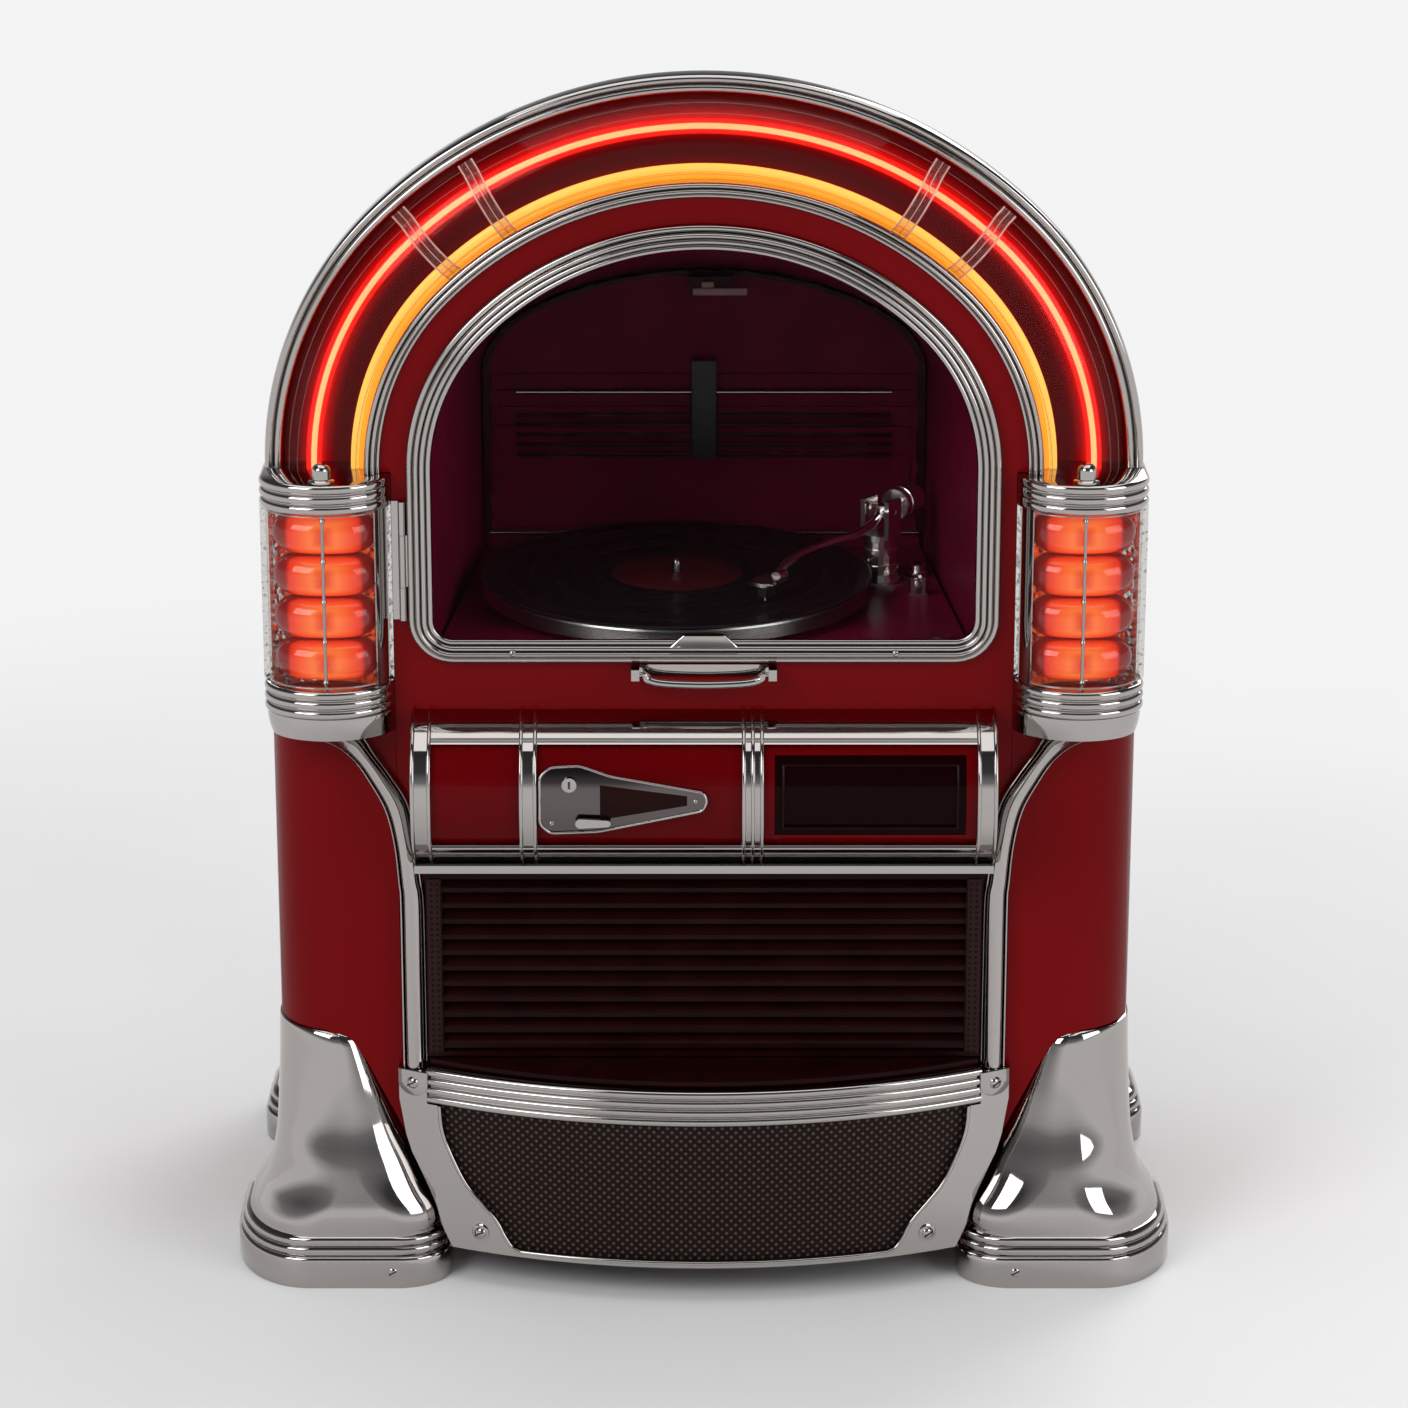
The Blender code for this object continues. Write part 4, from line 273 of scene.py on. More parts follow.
def glowing(name, colour, glow, strength, alpha=1.0):
    made = material(name, colour, roughness=0.25, glow=glow, strength=strength, alpha=alpha)
    dimmer = tuple(0.92 * c for c in glow)
    tint(made, noise(made, 22, 2), ((0.3, dimmer), (0.7, glow)), "Emission Color")
    return made


def pod_glass(name):
    """Orange-red lamp glass glowing along the attribute across: dim at the very middle, hottest just off it
    and dark at its ends, with each pod's top and bottom rim darkened as painted shade.
    """
    made = material(name, (0.16, 0.004, 0.003), roughness=0.10, coat=0.5, strength=1.0,
                    glow=(1, 0.2, 0.05), specular=0.3)
    across = add(made, "ShaderNodeAttribute", attribute_name="across")
    stops = ((0.0, (0.42, 0.030, 0.008)), (0.07, (0.80, 0.075, 0.012)), (0.24, (0.98, 0.20, 0.040)),
             (0.50, (0.90, 0.085, 0.014)), (0.67, (0.72, 0.030, 0.006)), (0.74, (0.13, 0.004, 0.002)),
             (1.0, (0.030, 0.001, 0.001)))
    tint(made, across.outputs["Fac"], stops, "Emission Color")
    spread(made, noise(made, 90, 2), 0.07, 0.14)
    return made


def painted_glow_tray(name):
    """Dark red trough with painted glow: emission along the attribute glow stands in for the tubes' light, 1
    beside a tube and fading away.
    """
    made = material(name, (0.030, 0.0008, 0.0012), roughness=0.30, strength=1.0, glow=(1, 0.02, 0.01),
                    specular=0.02)
    glow = add(made, "ShaderNodeAttribute", attribute_name="glow")
    # Painted glow: emission from near black far from the tubes to bright red beside them.
    stops = ((0.0, (0.030, 0.0002, 0.0004)), (0.30, (0.085, 0.0004, 0.0006)),
             (0.65, (0.34, 0.002, 0.002)), (1.0, (0.88, 0.006, 0.004)))
    tint(made, glow.outputs["Fac"], stops, "Emission Color")
    spread(made, noise(made, 60, 2), 0.25, 0.36)
    return made


def woven(name):
    """Dark metal cloth: staggered rows of small raised threads, bronze on their tops; that bright bronze is
    partly the metal's colour and partly painted highlight.
    """
    made = material(name, (0.010, 0.005, 0.004), metallic=0.5, specular=0.3)
    vector = coordinates(made)
    difference = maths(made, "SUBTRACT", wave(made, vector, 46, "X"), wave(made, vector, 46, "Z"))
    value = maths(made, "ABSOLUTE", difference)
    # The brightest stop on the raised thread tops is partly painted highlight.
    stops = ((0.35, (0.004, 0.002, 0.002)), (0.65, (0.016, 0.007, 0.005)), (0.95, (0.13, 0.060, 0.040)))
    tint(made, value, stops)
    spread(made, value, 0.6, 0.35)
    bump(made, value, 0.6, 0.8 * MM)
    return made


def perforated(name):
    """Dark strip with rows of small holes, dented and painted near black inside: painted shade."""
    made = material(name, (0.02, 0.008, 0.008), roughness=0.45, metallic=0.3, specular=0.15)
    vector = coordinates(made)
    product = maths(made, "MULTIPLY", wave(made, vector, 70, "X"), wave(made, vector, 70, "Z"))
    # Holes painted near black: painted shade in them.
    tint(made, product, ((0.35, (0.024, 0.007, 0.006)), (0.6, (0.002, 0.001, 0.001))))
    bump(made, product, -0.6, 0.8 * MM)
    return made


def grooved(name):
    """Black disc with rings of grooves about the record's axis."""
    made = material(name, (0.006, 0.005, 0.006), roughness=0.26, specular=0.35)
    place = coordinates(made, offset=(-RECORD_AXIS.x, -RECORD_AXIS.y, 0))
    fine, broad = [wave(made, place, scale, "Z", "RINGS") for scale in (700.0, 9.0)]
    spread(made, broad, 0.22, 0.34)
    bump(made, fine, 0.18, 0.12 * MM)
    return made


def brushed(name, colour, low=0.25, high=0.4):
    made = material(name, colour, metallic=1.0)
    value = noise(made, 30, 5, (1, 1, 18))
    spread(made, value, low, high)
    bump(made, value, 0.08, 0.3 * MM)
    return made


def pressed_reflector(name):
    """Bright plate pressed with small facets."""
    made = material(name, (0.70, 0.68, 0.66), metallic=1.0, roughness=0.14)
    cells = add(made, "ShaderNodeTexVoronoi", Scale=230.0)
    link(made, coordinates(made), cells.inputs["Vector"])
    spread(made, cells.outputs["Distance"], 0.08, 0.25)
    bump(made, cells.outputs["Distance"], 0.9, 1.2 * MM)
    return made


CHROME = chrome("polished_chrome")
FOOT_CHROME = chrome("foot_chrome", (0.42, 0.395, 0.38), 0.03, 0.07, 0.16, 14.0)
# Arm chrome brighter than the other chrome, so that the arm reads lit inside the dark compartment: the extra
# brightness is painted light.
BRIGHTENED_ARM_CHROME = chrome("arm_chrome", (0.86, 0.82, 0.80), 0.16, 0.26, 0.02, 30.0)
DARK_CHROME = chrome("dark_chrome", (0.13, 0.11, 0.11), 0.05, 0.12)
CRIMSON = lacquer("crimson_lacquer", (0.150, 0.0008, 0.0020), (0.180, 0.0012, 0.0030))
CONSOLE_RED = lacquer("console_red", (0.100, 0.0006, 0.0018), (0.125, 0.0010, 0.0024))
DARK_RED = lacquer("dark_red_paint", (0.035, 0.0010, 0.0016), (0.045, 0.0014, 0.0022), 0.02)
BURGUNDY = mottled("burgundy_paint", (0.130, 0.0030, 0.0220), (0.170, 0.0040, 0.0290), 0.26, 0.38,
                   grain=0.02, specular=0.03)
DARK_TRIM = mottled("compartment_trim", (0.026, 0.002, 0.006), (0.036, 0.003, 0.008), 0.22, 0.32,
                    grain=0.02, specular=0.05)
LAMP_SHADE = mottled("compartment_lamp", (0.30, 0.16, 0.15), (0.36, 0.20, 0.19), 0.3, 0.4, grain=0.02)
BLACK_BOARD = mottled("black_board", (0.012, 0.008, 0.008), (0.026, 0.018, 0.016), 0.5, 0.7, 14, 0.3,
                      stretch=(6, 1, 1))
LOUVRE_BLACK = mottled("louvre_black", (0.0090, 0.0011, 0.0011), (0.0155, 0.0021, 0.0019), 0.25, 0.38,
                       grain=0.03, specular=0.08)
BLACK_PLASTIC = mottled("black_plastic", (0.008, 0.007, 0.007), (0.014, 0.012, 0.012), 0.35, 0.5, 60, 0.10)
RUBBER_BLACK = mottled("paper_cone", (0.012, 0.011, 0.011), (0.022, 0.020, 0.020), 0.6, 0.8, 50, 0.3)
STEEL = brushed("plain_steel", (0.45, 0.44, 0.43))
TURNED_ALUMINIUM = brushed("turned_aluminium", (0.30, 0.29, 0.285), 0.18, 0.3)
MESH_CLOTH = woven("woven_mesh")
PERFORATED = perforated("perforated_strip")
VINYL = grooved("grooved_vinyl")
LABEL = mottled("record_label", (0.045, 0.003, 0.005), (0.075, 0.005, 0.008), 0.45, 0.6, 90, 0.03,
                specular=0.2)
COVER_CLEAR = clear("arch_cover_plastic", (0.05, 0.001, 0.002), 0.10, coat=0.6)
BAND_CLEAR = clear("cover_band_plastic", (0.20, 0.05, 0.04), 0.20, 0.06, coat=0.8, specular=0.4)
# Pale, faintly glowing wires on the bands' ridges: painted highlight.
EDGE_HIGHLIGHT_CLEAR = clear("cover_edge_painted_highlight", (0.62, 0.34, 0.29), 0.66, 0.10, coat=0.8, specular=0.5,
                   glow=(0.9, 0.30, 0.22), strength=0.12)
# Pale lines along the cover: painted highlight.
LINE_HIGHLIGHT_CLEAR = clear("cover_line_painted_highlight", (0.40, 0.14, 0.12), 0.26, 0.10, coat=0.8, specular=0.5)
COLUMN_CLEAR = clear("column_cover_plastic", (0.10, 0.05, 0.045), 0.07, coat=0.6)
RIM_CLEAR = clear("column_rim_plastic", (0.40, 0.34, 0.32), 0.45, 0.08, coat=1.0, specular=0.5)
WINDOW = clear("window_glass", (0.010, 0.006, 0.007), 0.035, 0.02, coat=0.0)
DISPLAY = lacquer("tinted_display", (0.0060, 0.0006, 0.0009), (0.0100, 0.0009, 0.0013), 0.03, 0.10, 0.18)
NEON_CORE = glowing("neon_core", (1.0, 0.7, 0.3), (1.0, 0.64, 0.24), 2.2)
NEON_HALO = glowing("neon_halo", (0.8, 0.02, 0.01), (0.90, 0.008, 0.005), 1.0, 0.55)
AMBER_CORE = glowing("amber_core", (0.9, 0.40, 0.05), (1.0, 0.52, 0.095), 1.1)
AMBER_HALO = glowing("amber_halo", (0.8, 0.25, 0.02), (1.0, 0.34, 0.020), 1.05)
POD = pod_glass("lamp_pod_glass")
# The tray liner's painted glow: emission that stands in for the tubes' light on it.
PAINTED_GLOW_TRAY = painted_glow_tray("painted_glow_tray")
REFLECTOR = pressed_reflector("pressed_reflector")

# The frame's slots and the looks that new pieces wear in them
SLOT_LOOKS = {
    "chrome": (CHROME, DARK_CHROME, LAMP_SHADE),
    "cast_foot": (FOOT_CHROME,),
    "arm_chrome": (BRIGHTENED_ARM_CHROME,),
    "crimson_lacquer": (CRIMSON, CONSOLE_RED),
    "burgundy": (BURGUNDY, DARK_TRIM),
    "louvre_black": (LOUVRE_BLACK, PERFORATED),
    "inlet_black": (BLACK_PLASTIC,),
    "motor_steel": (STEEL,),
    "platter_metal": (TURNED_ALUMINIUM,),
    "vinyl": (VINYL, LABEL),
    "arch_cover_clear": (COVER_CLEAR, BAND_CLEAR, EDGE_HIGHLIGHT_CLEAR, LINE_HIGHLIGHT_CLEAR),
    "column_clear": (COLUMN_CLEAR, RIM_CLEAR),
    "neon_red": (NEON_CORE, NEON_HALO),
    "neon_amber": (AMBER_CORE, AMBER_HALO),
    "lamp_red": (POD,),
    "tray_black": (PAINTED_GLOW_TRAY,),
}
SLOT_OF = {look: slot for slot, looks in SLOT_LOOKS.items() for look in looks}

# Looks of the nodes that keep their shape
NODE_LOOKS = {
    CHROME: ("selector_frame", "apron_frame", "handle_bracket", "lock_cylinder", "thumb_lever",
             "door_hinge"),
    BRIGHTENED_ARM_CHROME: ("tonearm_gimbal", "tonearm_base", "cue_lever", "start_button"),
    CRIMSON: ("cabinet_shell", "left_cheek", "right_cheek", "front_panel"),
    CONSOLE_RED: ("selector_body",),
    DARK_RED: ("arch_light_tray",),
    BURGUNDY: ("compartment_liner", "rear_wall", "turntable_deck"),
    DARK_TRIM: ("rear_arch_trim",),
    BLACK_BOARD: ("back_panel", "turntable_shelf"),
    LOUVRE_BLACK: ("louvre_grille",),
    MESH_CLOTH: ("mesh_grille",),
    REFLECTOR: ("column_reflector_left", "column_reflector_right"),
    STEEL: ("platter_motor", "amplifier"),
    RUBBER_BLACK: ("woofer",),
    BLACK_PLASTIC: ("power_inlet",),
    WINDOW: ("door_glass",),
    DISPLAY: ("display_window",),
}


def finish(obj, look, node=None, body="cabinet"):
    """Gives a new piece its material and body, and hides the node that it stands for."""
    obj.data.materials.clear()
    obj.data.materials.append(look)
    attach(obj, body)
    if node:
        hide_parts(node)


def shares(count):
    """Evenly spaced values from 0 to 1."""
    return [i / count for i in range(count + 1)]


def turns(count):
    """Evenly spaced angles round a circle."""
    return [2 * pi * i / count for i in range(count)]


def swell(t):
    """How far a half round stands out at a share of its width."""
    return sqrt(max(0.0, 1 - (2 * t - 1) ** 2))


def mm(*points):
    """Points given in millimetres, turned into metres."""
    return [tuple(value * MM for value in point) for point in points]


def placed(name, work, smooth=SMOOTH):
    """A worked mesh as an object of the scene."""
    mesh = bpy.data.meshes.new(name)
    work.to_mesh(mesh)
    work.free()
    mesh.shade_smooth()
    mesh.set_sharp_from_angle(angle=smooth)
    made = bpy.data.objects.new(name, mesh)
    bpy.context.scene.collection.objects.link(made)
    return made


def from_bmesh(name, work, smooth=SMOOTH):
    bmesh.ops.recalc_face_normals(work, faces=work.faces)
    return placed(name, work, smooth)


def joined(name, pieces):
    """Several new pieces as one object."""
    work = bmesh.new()
    for piece in pieces:
        work.from_mesh(piece.data)
        bpy.data.objects.remove(piece)
    return placed(name, work)


def skin(name, sections, cyclic=False, smooth=SMOOTH):
    """Closed sections of equal count joined in order; cyclic joins the last to the first."""
    work = bmesh.new()
    loops = [[work.verts.new(point) for point in section] for section in sections]
    pairs = list(zip(loops, loops[1:]))
    if cyclic:
        pairs.append((loops[-1], loops[0]))
    for one, two in pairs:
        for i in range(len(one)):
            j = (i + 1) % len(one)
            work.faces.new((one[i], one[j], two[j], two[i]))
    if not cyclic:
        work.faces.new(loops[0])
        work.faces.new(loops[-1])
    return from_bmesh(name, work, smooth)


def prism(name, outline, levels):
    """An (x, y) outline drawn up through some levels."""
    return skin(name, [[(x, y, z) for x, y in outline] for z in levels])


def turned(name, profile, steps=48, matrix=Matrix.Identity(4)):
    """A profile of (radius, height) points turned about Z."""
    work = bmesh.new()
    loops = []
    for radius, height in profile:
        spots = [Vector((radius * cos(t), radius * sin(t), height)) for t in turns(steps)]
        loops.append([work.verts.new(matrix @ spot) for spot in (spots if radius > 1e-7 else spots[:1])])
    for one, two in zip(loops, loops[1:]):
        for i in range(steps):
            j = (i + 1) % steps
            if len(one) == 1:
                work.faces.new((one[0], two[i], two[j]))
            elif len(two) == 1:
                work.faces.new((one[i], one[j], two[0]))
            else:
                work.faces.new((one[i], one[j], two[j], two[i]))
    return from_bmesh(name, work)


def smooth_path(points, per_span=8):
    """A Catmull-Rom curve through points in space."""
    places = [Vector(p) for p in points]
    places = [2 * places[0] - places[1]] + places + [2 * places[-1] - places[-2]]
    curve = []
    for i in range(1, len(places) - 2):
        a, b, c, d = places[i - 1:i + 3]
        for t in shares(per_span)[:-1]:
            curve.append(0.5 * ((2 * b) + (c - a) * t + (2 * a - 5 * b + 4 * c - d) * t * t
                                + (3 * b - a - 3 * c + d) * t ** 3))
    return curve + [places[-2]]


def wire(name, points, radius, sides=12):
    """A round tube along points, closed at both ends."""
    path = [Vector(p) for p in points]
    sections = []
    side = None
    for i, place in enumerate(path):
        along = (path[min(i + 1, len(path) - 1)] - path[max(i - 1, 0)]).normalized()
        if side is None:
            side = along.orthogonal().normalized()
        side = (side - along * side.dot(along)).normalized()
        other = along.cross(side)
        sections.append([place + side * radius * cos(t) + other * radius * sin(t) for t in turns(sides)])
    return skin(name, sections)


def block(name, place, low, high, edge):
    """A box with rounded edges, whose corners are given in millimetres from a place."""
    work = bmesh.new()
    bmesh.ops.create_cube(work, size=1)
    for vert in work.verts:
        vert.co = [p + (a + (c + 0.5) * (b - a)) * MM for p, c, a, b in zip(place, vert.co, low, high)]
    bmesh.ops.bevel(work, geom=work.edges[:], offset=edge * MM, segments=2, affect="EDGES", profile=0.6)
    return from_bmesh(name, work)


def aim(place, direction):
    """A matrix that puts local Z along a direction."""
    return Matrix.Translation(place) @ Vector(direction).to_track_quat("Z", "Y").to_matrix().to_4x4()


def screws(name, places, radius, body="cabinet"):
    """Domed screw heads with slots; places are (place, direction) and the radius is in millimetres."""
    dome = ((0, 0.55), (0.5, 0.48), (0.85, 0.26), (1, 0), (1, -0.3), (0, -0.3))
    profile = mm(*[(radius * a, radius * b) for a, b in dome])
    low, high = [[radius * a for a in corner] for corner in ((-0.8, -0.12, 0.42), (0.8, 0.12, 0.6))]
    heads, slots = [], []
    for place, direction in places:
        heads.append(turned("head", profile, 24, aim(place, direction)))
        slots.append(block("slot", (0, 0, 0), low, high, 0.1))
        slots[-1].data.transform(aim(place, direction) @ Matrix.Rotation(0.5, 4, "Z"))
    finish(joined(name, heads), CHROME, body=body)
    finish(joined(name + "_slots", slots), BLACK_PLASTIC, body=body)


def arch_frames(foot_z=COLLAR_TOP_Z):
    """Stations along the arch: (centre x, centre z, outward x, outward z, radius shift) and feet."""
    stations = [(-SIDE_CENTRE_X, foot_z, -1.0, 0.0, -SIDE_CENTRE_X)]
    for share in shares(ARCH_STEPS):
        turn = pi * (1 - share)
        if pi / 4 < turn < 3 * pi / 4:
            x, z, shift = 0.0, CROWN_Z, CROWN_SHIFT
        else:
            x, z, shift = copysign(SIDE_CENTRE_X, cos(turn)), SPRING_Z, -SIDE_CENTRE_X
        stations.append((x, z, cos(turn), sin(turn), shift))
    return stations + [(SIDE_CENTRE_X, foot_z, 1.0, 0.0, -SIDE_CENTRE_X)]


def arch_section(profile, station):
    """A profile of (half width, depth) points at one station of the arch."""
    cx, cz, ox, oz, shift = station
    return [(cx + ox * (a + shift), FRONT_Y + depth, cz + oz * (a + shift)) for a, depth in profile]


def arch_band(name, profile):
    return skin(name, [arch_section(profile, station) for station in arch_frames()])


def arch_path(half, depth):
    return [arch_section([(half, depth)], station)[0] for station in arch_frames()]


def ribs(inner, outer, base, count, height):
    """Round ribs side by side from the inner to the outer half width, as (half width, depth) points."""
    width = (outer - inner) / count
    points = [(inner + width * (i + t), base - height * swell(t))
              for i in range(count) for t in shares(8)[:-1]]
    return points + [(outer, base)]


def arch_rings():
    """The chrome trims outside and inside the lit arch."""
    back, front = RING_HIGH.y - FRONT_Y, RING_LOW.y - FRONT_Y
    face = ribs(RING_INNER, RING_HIGH.x, front + 4.2 * MM, 2, 4.2 * MM)
    profile = [(RING_INNER, back)] + face + [(RING_HIGH.x, back)]
    finish(arch_band("arch_outer_ring", profile), CHROME, "arch_outer_trim")
    step, lip, depth = TRIM_INNER + 3 * MM, TRIM_INNER + 5 * MM, 9 * MM
    profile = [(TRIM_INNER, 0.0)] + ribs(TRIM_INNER, step, -1.2 * MM, 1, 1.6 * MM)
    profile += ribs(step, TRIM_OUTER, -3.5 * MM, 2, 3.6 * MM)
    profile += [(TRIM_OUTER, 0.0), (TRIM_OUTER, depth), (lip, depth), (lip, -GAP)]
    finish(arch_band("arch_inner_ring", profile), CHROME, "arch_inner_trim")


def cover_point(t, out=0.0):
    """(half width, depth) at a share of the cover's width, standing out of its face."""
    depth = 4 * MM + 14 * MM * t - 19 * MM * sin(pi * t) ** 0.7
    return COVER_INNER + (COVER_OUTER - COVER_INNER) * t, depth - out


def arch_cover():
    """The fluted clear cover with its four bands and thin raised lines along it, whose pale tint paints
    highlight lines.
    """
    front = [cover_point(t, -COVER_FLUTE * (0.5 + 0.5 * cos(10 * pi * t)) * sin(pi * t)) for t in shares(40)]
    back = [cover_point(0.05 + 0.9 * t, -COVER_WALL) for t in shares(20)]
    finish(arch_band("arch_clear_cover", front + back[::-1]), COVER_CLEAR, "arch_light_cover")
    for count, angle in enumerate(COVER_BANDS):
        band, edges = cover_band("cover_band_%d" % count, radians(angle))
        finish(band, BAND_CLEAR)
        finish(edges, EDGE_HIGHLIGHT_CLEAR)
    # Thin raised lines in a pale clear tint: painted highlight lines along the cover.
    lines = [wire("cover_line", arch_path(*cover_point(t, 0.1 * MM)), 0.35 * MM, 6) for t in COVER_HIGHLIGHT_LINES]
    finish(joined("cover_highlight_lines", lines), LINE_HIGHLIGHT_CLEAR)


def cover_band(name, angle):
    """Two raised ridges across the cover with a groove between them, and thin pale wires along them that
    paint highlights.
    """
    outward = Vector((cos(angle), sin(angle)))
    across = Vector((-outward.y, outward.x)) * BAND_HALF

    def spot(t, share, lift):
        half, depth = cover_point(t)
        place = Vector((0, CROWN_Z)) + outward * (half + CROWN_SHIFT) + across * share
        return place.x, FRONT_Y + min(depth, BAND_DEEPEST) + 1.2 * MM - lift, place.y

    section = [(-1, 0.0)]
    section += [(2 * t - 1, 2.3 * MM * abs(sin(2 * pi * t)) ** 0.6 + 0.3 * MM) for t in shares(16)]
    section += [(1, 0.0)]
    along = [0.005 + 0.99 * t for t in shares(24)]
    band = skin(name, [[spot(t, *point) for point in section] for t in along])
    # Wires along both ridges and the groove, in a pale glowing material: painted highlight lines.
    highlight_rims = ((-0.97, 1.4 * MM, 0.75 * MM), (0.0, 0.9 * MM, 0.45 * MM), (0.97, 1.4 * MM, 0.75 * MM))
    edges = [wire("rim", [spot(t, share, lift) for t in along], radius, 8) for share, lift, radius in highlight_rims]
    return band, joined(name + "_highlight_edges", edges)


def neon():
    """The red tube with its bright core, and the close pair of amber tubes."""
    for name, half, radius, sides, look, node in (
            ("neon_core", RED_TUBE_HALF, CORE_RADIUS, 12, NEON_CORE, None),
            ("neon_glass", RED_TUBE_HALF, HALO_RADIUS, 20, NEON_HALO, "red_neon_tube"),
            ("amber_tube_inner", AMBER_PAIR[0], AMBER_RADIUS, 16, AMBER_HALO, None),
            ("amber_tube_outer", AMBER_PAIR[1], AMBER_RADIUS, 16, AMBER_CORE, "amber_neon_tube")):
        finish(wire(name, arch_path(half, TUBE_DEPTH), radius, sides), look, node)


def grade(obj, name, values):
    """A value on each point of a piece, which its material reads."""
    for spot, value in zip(obj.data.attributes.new(name, "FLOAT", "POINT").data, values):
        spot.value = value


def tray_floor():
    """A thin liner on the tray's floor that carries the tubes' glow as painted light."""
    depth = TRAY_BACK_Y - FRONT_Y - 6.2 * MM
    rows = [TRAY_INNER + (TRAY_OUTER - TRAY_INNER) * t for t in shares(40)]
    profile = [(a, depth) for a in rows] + [(a, depth + 0.3 * MM) for a in reversed(rows)]
    liner = arch_band("tray_painted_glow_liner", profile)
    # Painted glow: falls off from the red and amber tubes across the liner.
    painted_glows = [min(1.0, exp(-((a - RED_TUBE_HALF) / (12 * MM)) ** 2)
                 + 0.45 * exp(-((a - AMBER_TUBE_HALF) / (8 * MM)) ** 2)) for a, _ in profile]
    grade(liner, "glow", painted_glows * (len(liner.data.vertices) // len(painted_glows)))
    finish(liner, PAINTED_GLOW_TRAY)


def column_plan(side, inset, back_y=COLUMN_MIDDLE_Y, flush=False):
    """A column's outline; flush keeps its full width on the side of the panel."""
    front = []
    for share in shares(40):
        turn = pi + pi * share
        kept = max(0.0, -side * cos(turn)) ** 5 if flush else 0.0
        half = COLUMN_HALF_WIDTH - inset * (1 - kept)
        forward = (COLUMN_FORWARD - inset) * sin(turn)
        front.append((side * COLUMN_X + half * cos(turn), COLUMN_MIDDLE_Y + forward))
    return front + [(front[-1][0], back_y), (front[0][0], back_y)]


def collar(name, side, low, high, node):
    """Three round rings stacked, with a flare below the lower collar."""
    bottom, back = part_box(node)[0].z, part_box(node)[1].y
    levels = []
    if bottom < low - 2 * MM:
        levels = [(bottom + (low - bottom) * t, 5 * MM * (1 - t) ** 1.6 + 2 * MM * t) for t in shares(6)]
    ring = (high - low) / 3
    levels += [(low + ring * (i + 0.04 + 0.92 * t), 2.6 * MM * (1 - swell(t)))
               for i in range(3) for t in shares(8)]
    sections = [[(x, y, z) for x, y in column_plan(side, inset, back, True)] for z, inset in levels]
    finish(skin(name, sections), CHROME, node)


def columns():
    """Collars, clear cover, pods and bead rod of both lamp columns."""
    for side, name in SIDES:
        collar("collar_top_" + name, side, COLLAR_LOW.z, COLLAR_TOP_Z, "upper_collar_" + name)
        collar("collar_base_" + name, side, LOWER_RINGS_Z, LAMPS_Z[0], "lower_collar_" + name)
        lamp_cover(side, name)
        pods(side, name)
        bead_rod(side, name)


def lamp_cover(side, name):
    """The clear half round cover with a rim at each end and a bright strip beside it."""
    low, high = LAMPS_Z
    outline = column_plan(side, 4 * MM)[:-2] + column_plan(side, 5.4 * MM)[:-2][::-1]
    cover = prism("lamp_cover_" + name, outline, (low + GAP, high - GAP))
    finish(cover, COLUMN_CLEAR, "column_cover_" + name)
    for edge, z in (("low", low + 1.6 * MM), ("high", high - 1.6 * MM)):
        points = [(x, y, z) for x, y in column_plan(side, 4.5 * MM)[:-2]]
        finish(wire("lamp_cover_rim_%s_%s" % (edge, name), points, 0.8 * MM, 8), RIM_CLEAR)
    rows = []
    for inset in (2.6 * MM, 3.8 * MM):
        half, forward = COLUMN_HALF_WIDTH - inset, COLUMN_FORWARD - inset
        rows.append([(side * (COLUMN_X - half * cos(t)), COLUMN_MIDDLE_Y - forward * sin(t))
                     for t in [radians(34) * share for share in shares(10)]])
    finish(prism("column_strip_" + name, rows[0] + rows[1][::-1], LAMPS_Z), CHROME)


def pods(side, name):
    """Four glowing pods, each a flattened drum with half round ends."""
    middle_z = (LAMPS_Z[0] + LAMPS_Z[1]) / 2
    y = COLUMN_FRONT_Y + 10 * MM + LAMP_HALF_DEPTH
    made = []
    for i in range(4):
        sections = []
        for share in shares(24):
            t = pi * (share - 0.5)
            wide, deep = 0.59 + 0.41 * cos(t), 0.30 + 0.70 * cos(t)
            if share in (0, 1):
                wide, deep = 0.57, 0.27
            z = middle_z + (i - 1.5) * LAMP_PITCH + LAMP_PITCH * 0.488 * sin(t)
            sections.append([(side * COLUMN_X + LAMP_HALF_WIDTH * wide * cos(turn),
                              y + LAMP_HALF_DEPTH * deep * sin(turn), z) for turn in turns(64)])
        made.append(skin("pod_%d_%s" % (i, name), sections))
    stack = joined("lamp_pods_" + name, made)
    # across grows out to the pod's sides and also towards each pod's top and bottom rim; the rim part is
    # painted shade, darkening the rims as on a shaded round body.
    across = []
    for vert in stack.data.vertices:
        out = abs(vert.co.x - side * COLUMN_X) / LAMP_HALF_WIDTH
        rows = (vert.co.z - middle_z) / LAMP_PITCH
        edge = 2 * abs(rows - floor(rows) - 0.5)
        across.append(min(1.0, (out ** 4 + (0.80 * edge * edge) ** 4) ** 0.25))
    grade(stack, "across", across)
    finish(stack, POD, "lamp_stack_" + name)


def bead_rod(side, name):
    """A thin rod with five beads in front of the pods."""
    x, y = side * COLUMN_X, COLUMN_FRONT_Y + 8.6 * MM
    low, high = LAMPS_Z
    bead = mm((0, 2.4), (1.7, 1.7), (2.4, 0), (1.7, -1.7), (0, -2.4))
    parts = [wire("rod", [(x, y, low), (x, y, high)], 1.3 * MM)]
    for i in range(5):
        z = low + (high - low) * (0.04 + 0.23 * i)
        parts.append(turned("bead", bead, 16, Matrix.Translation((x, y, z))))
    finish(joined("bead_rod_" + name, parts), CHROME)


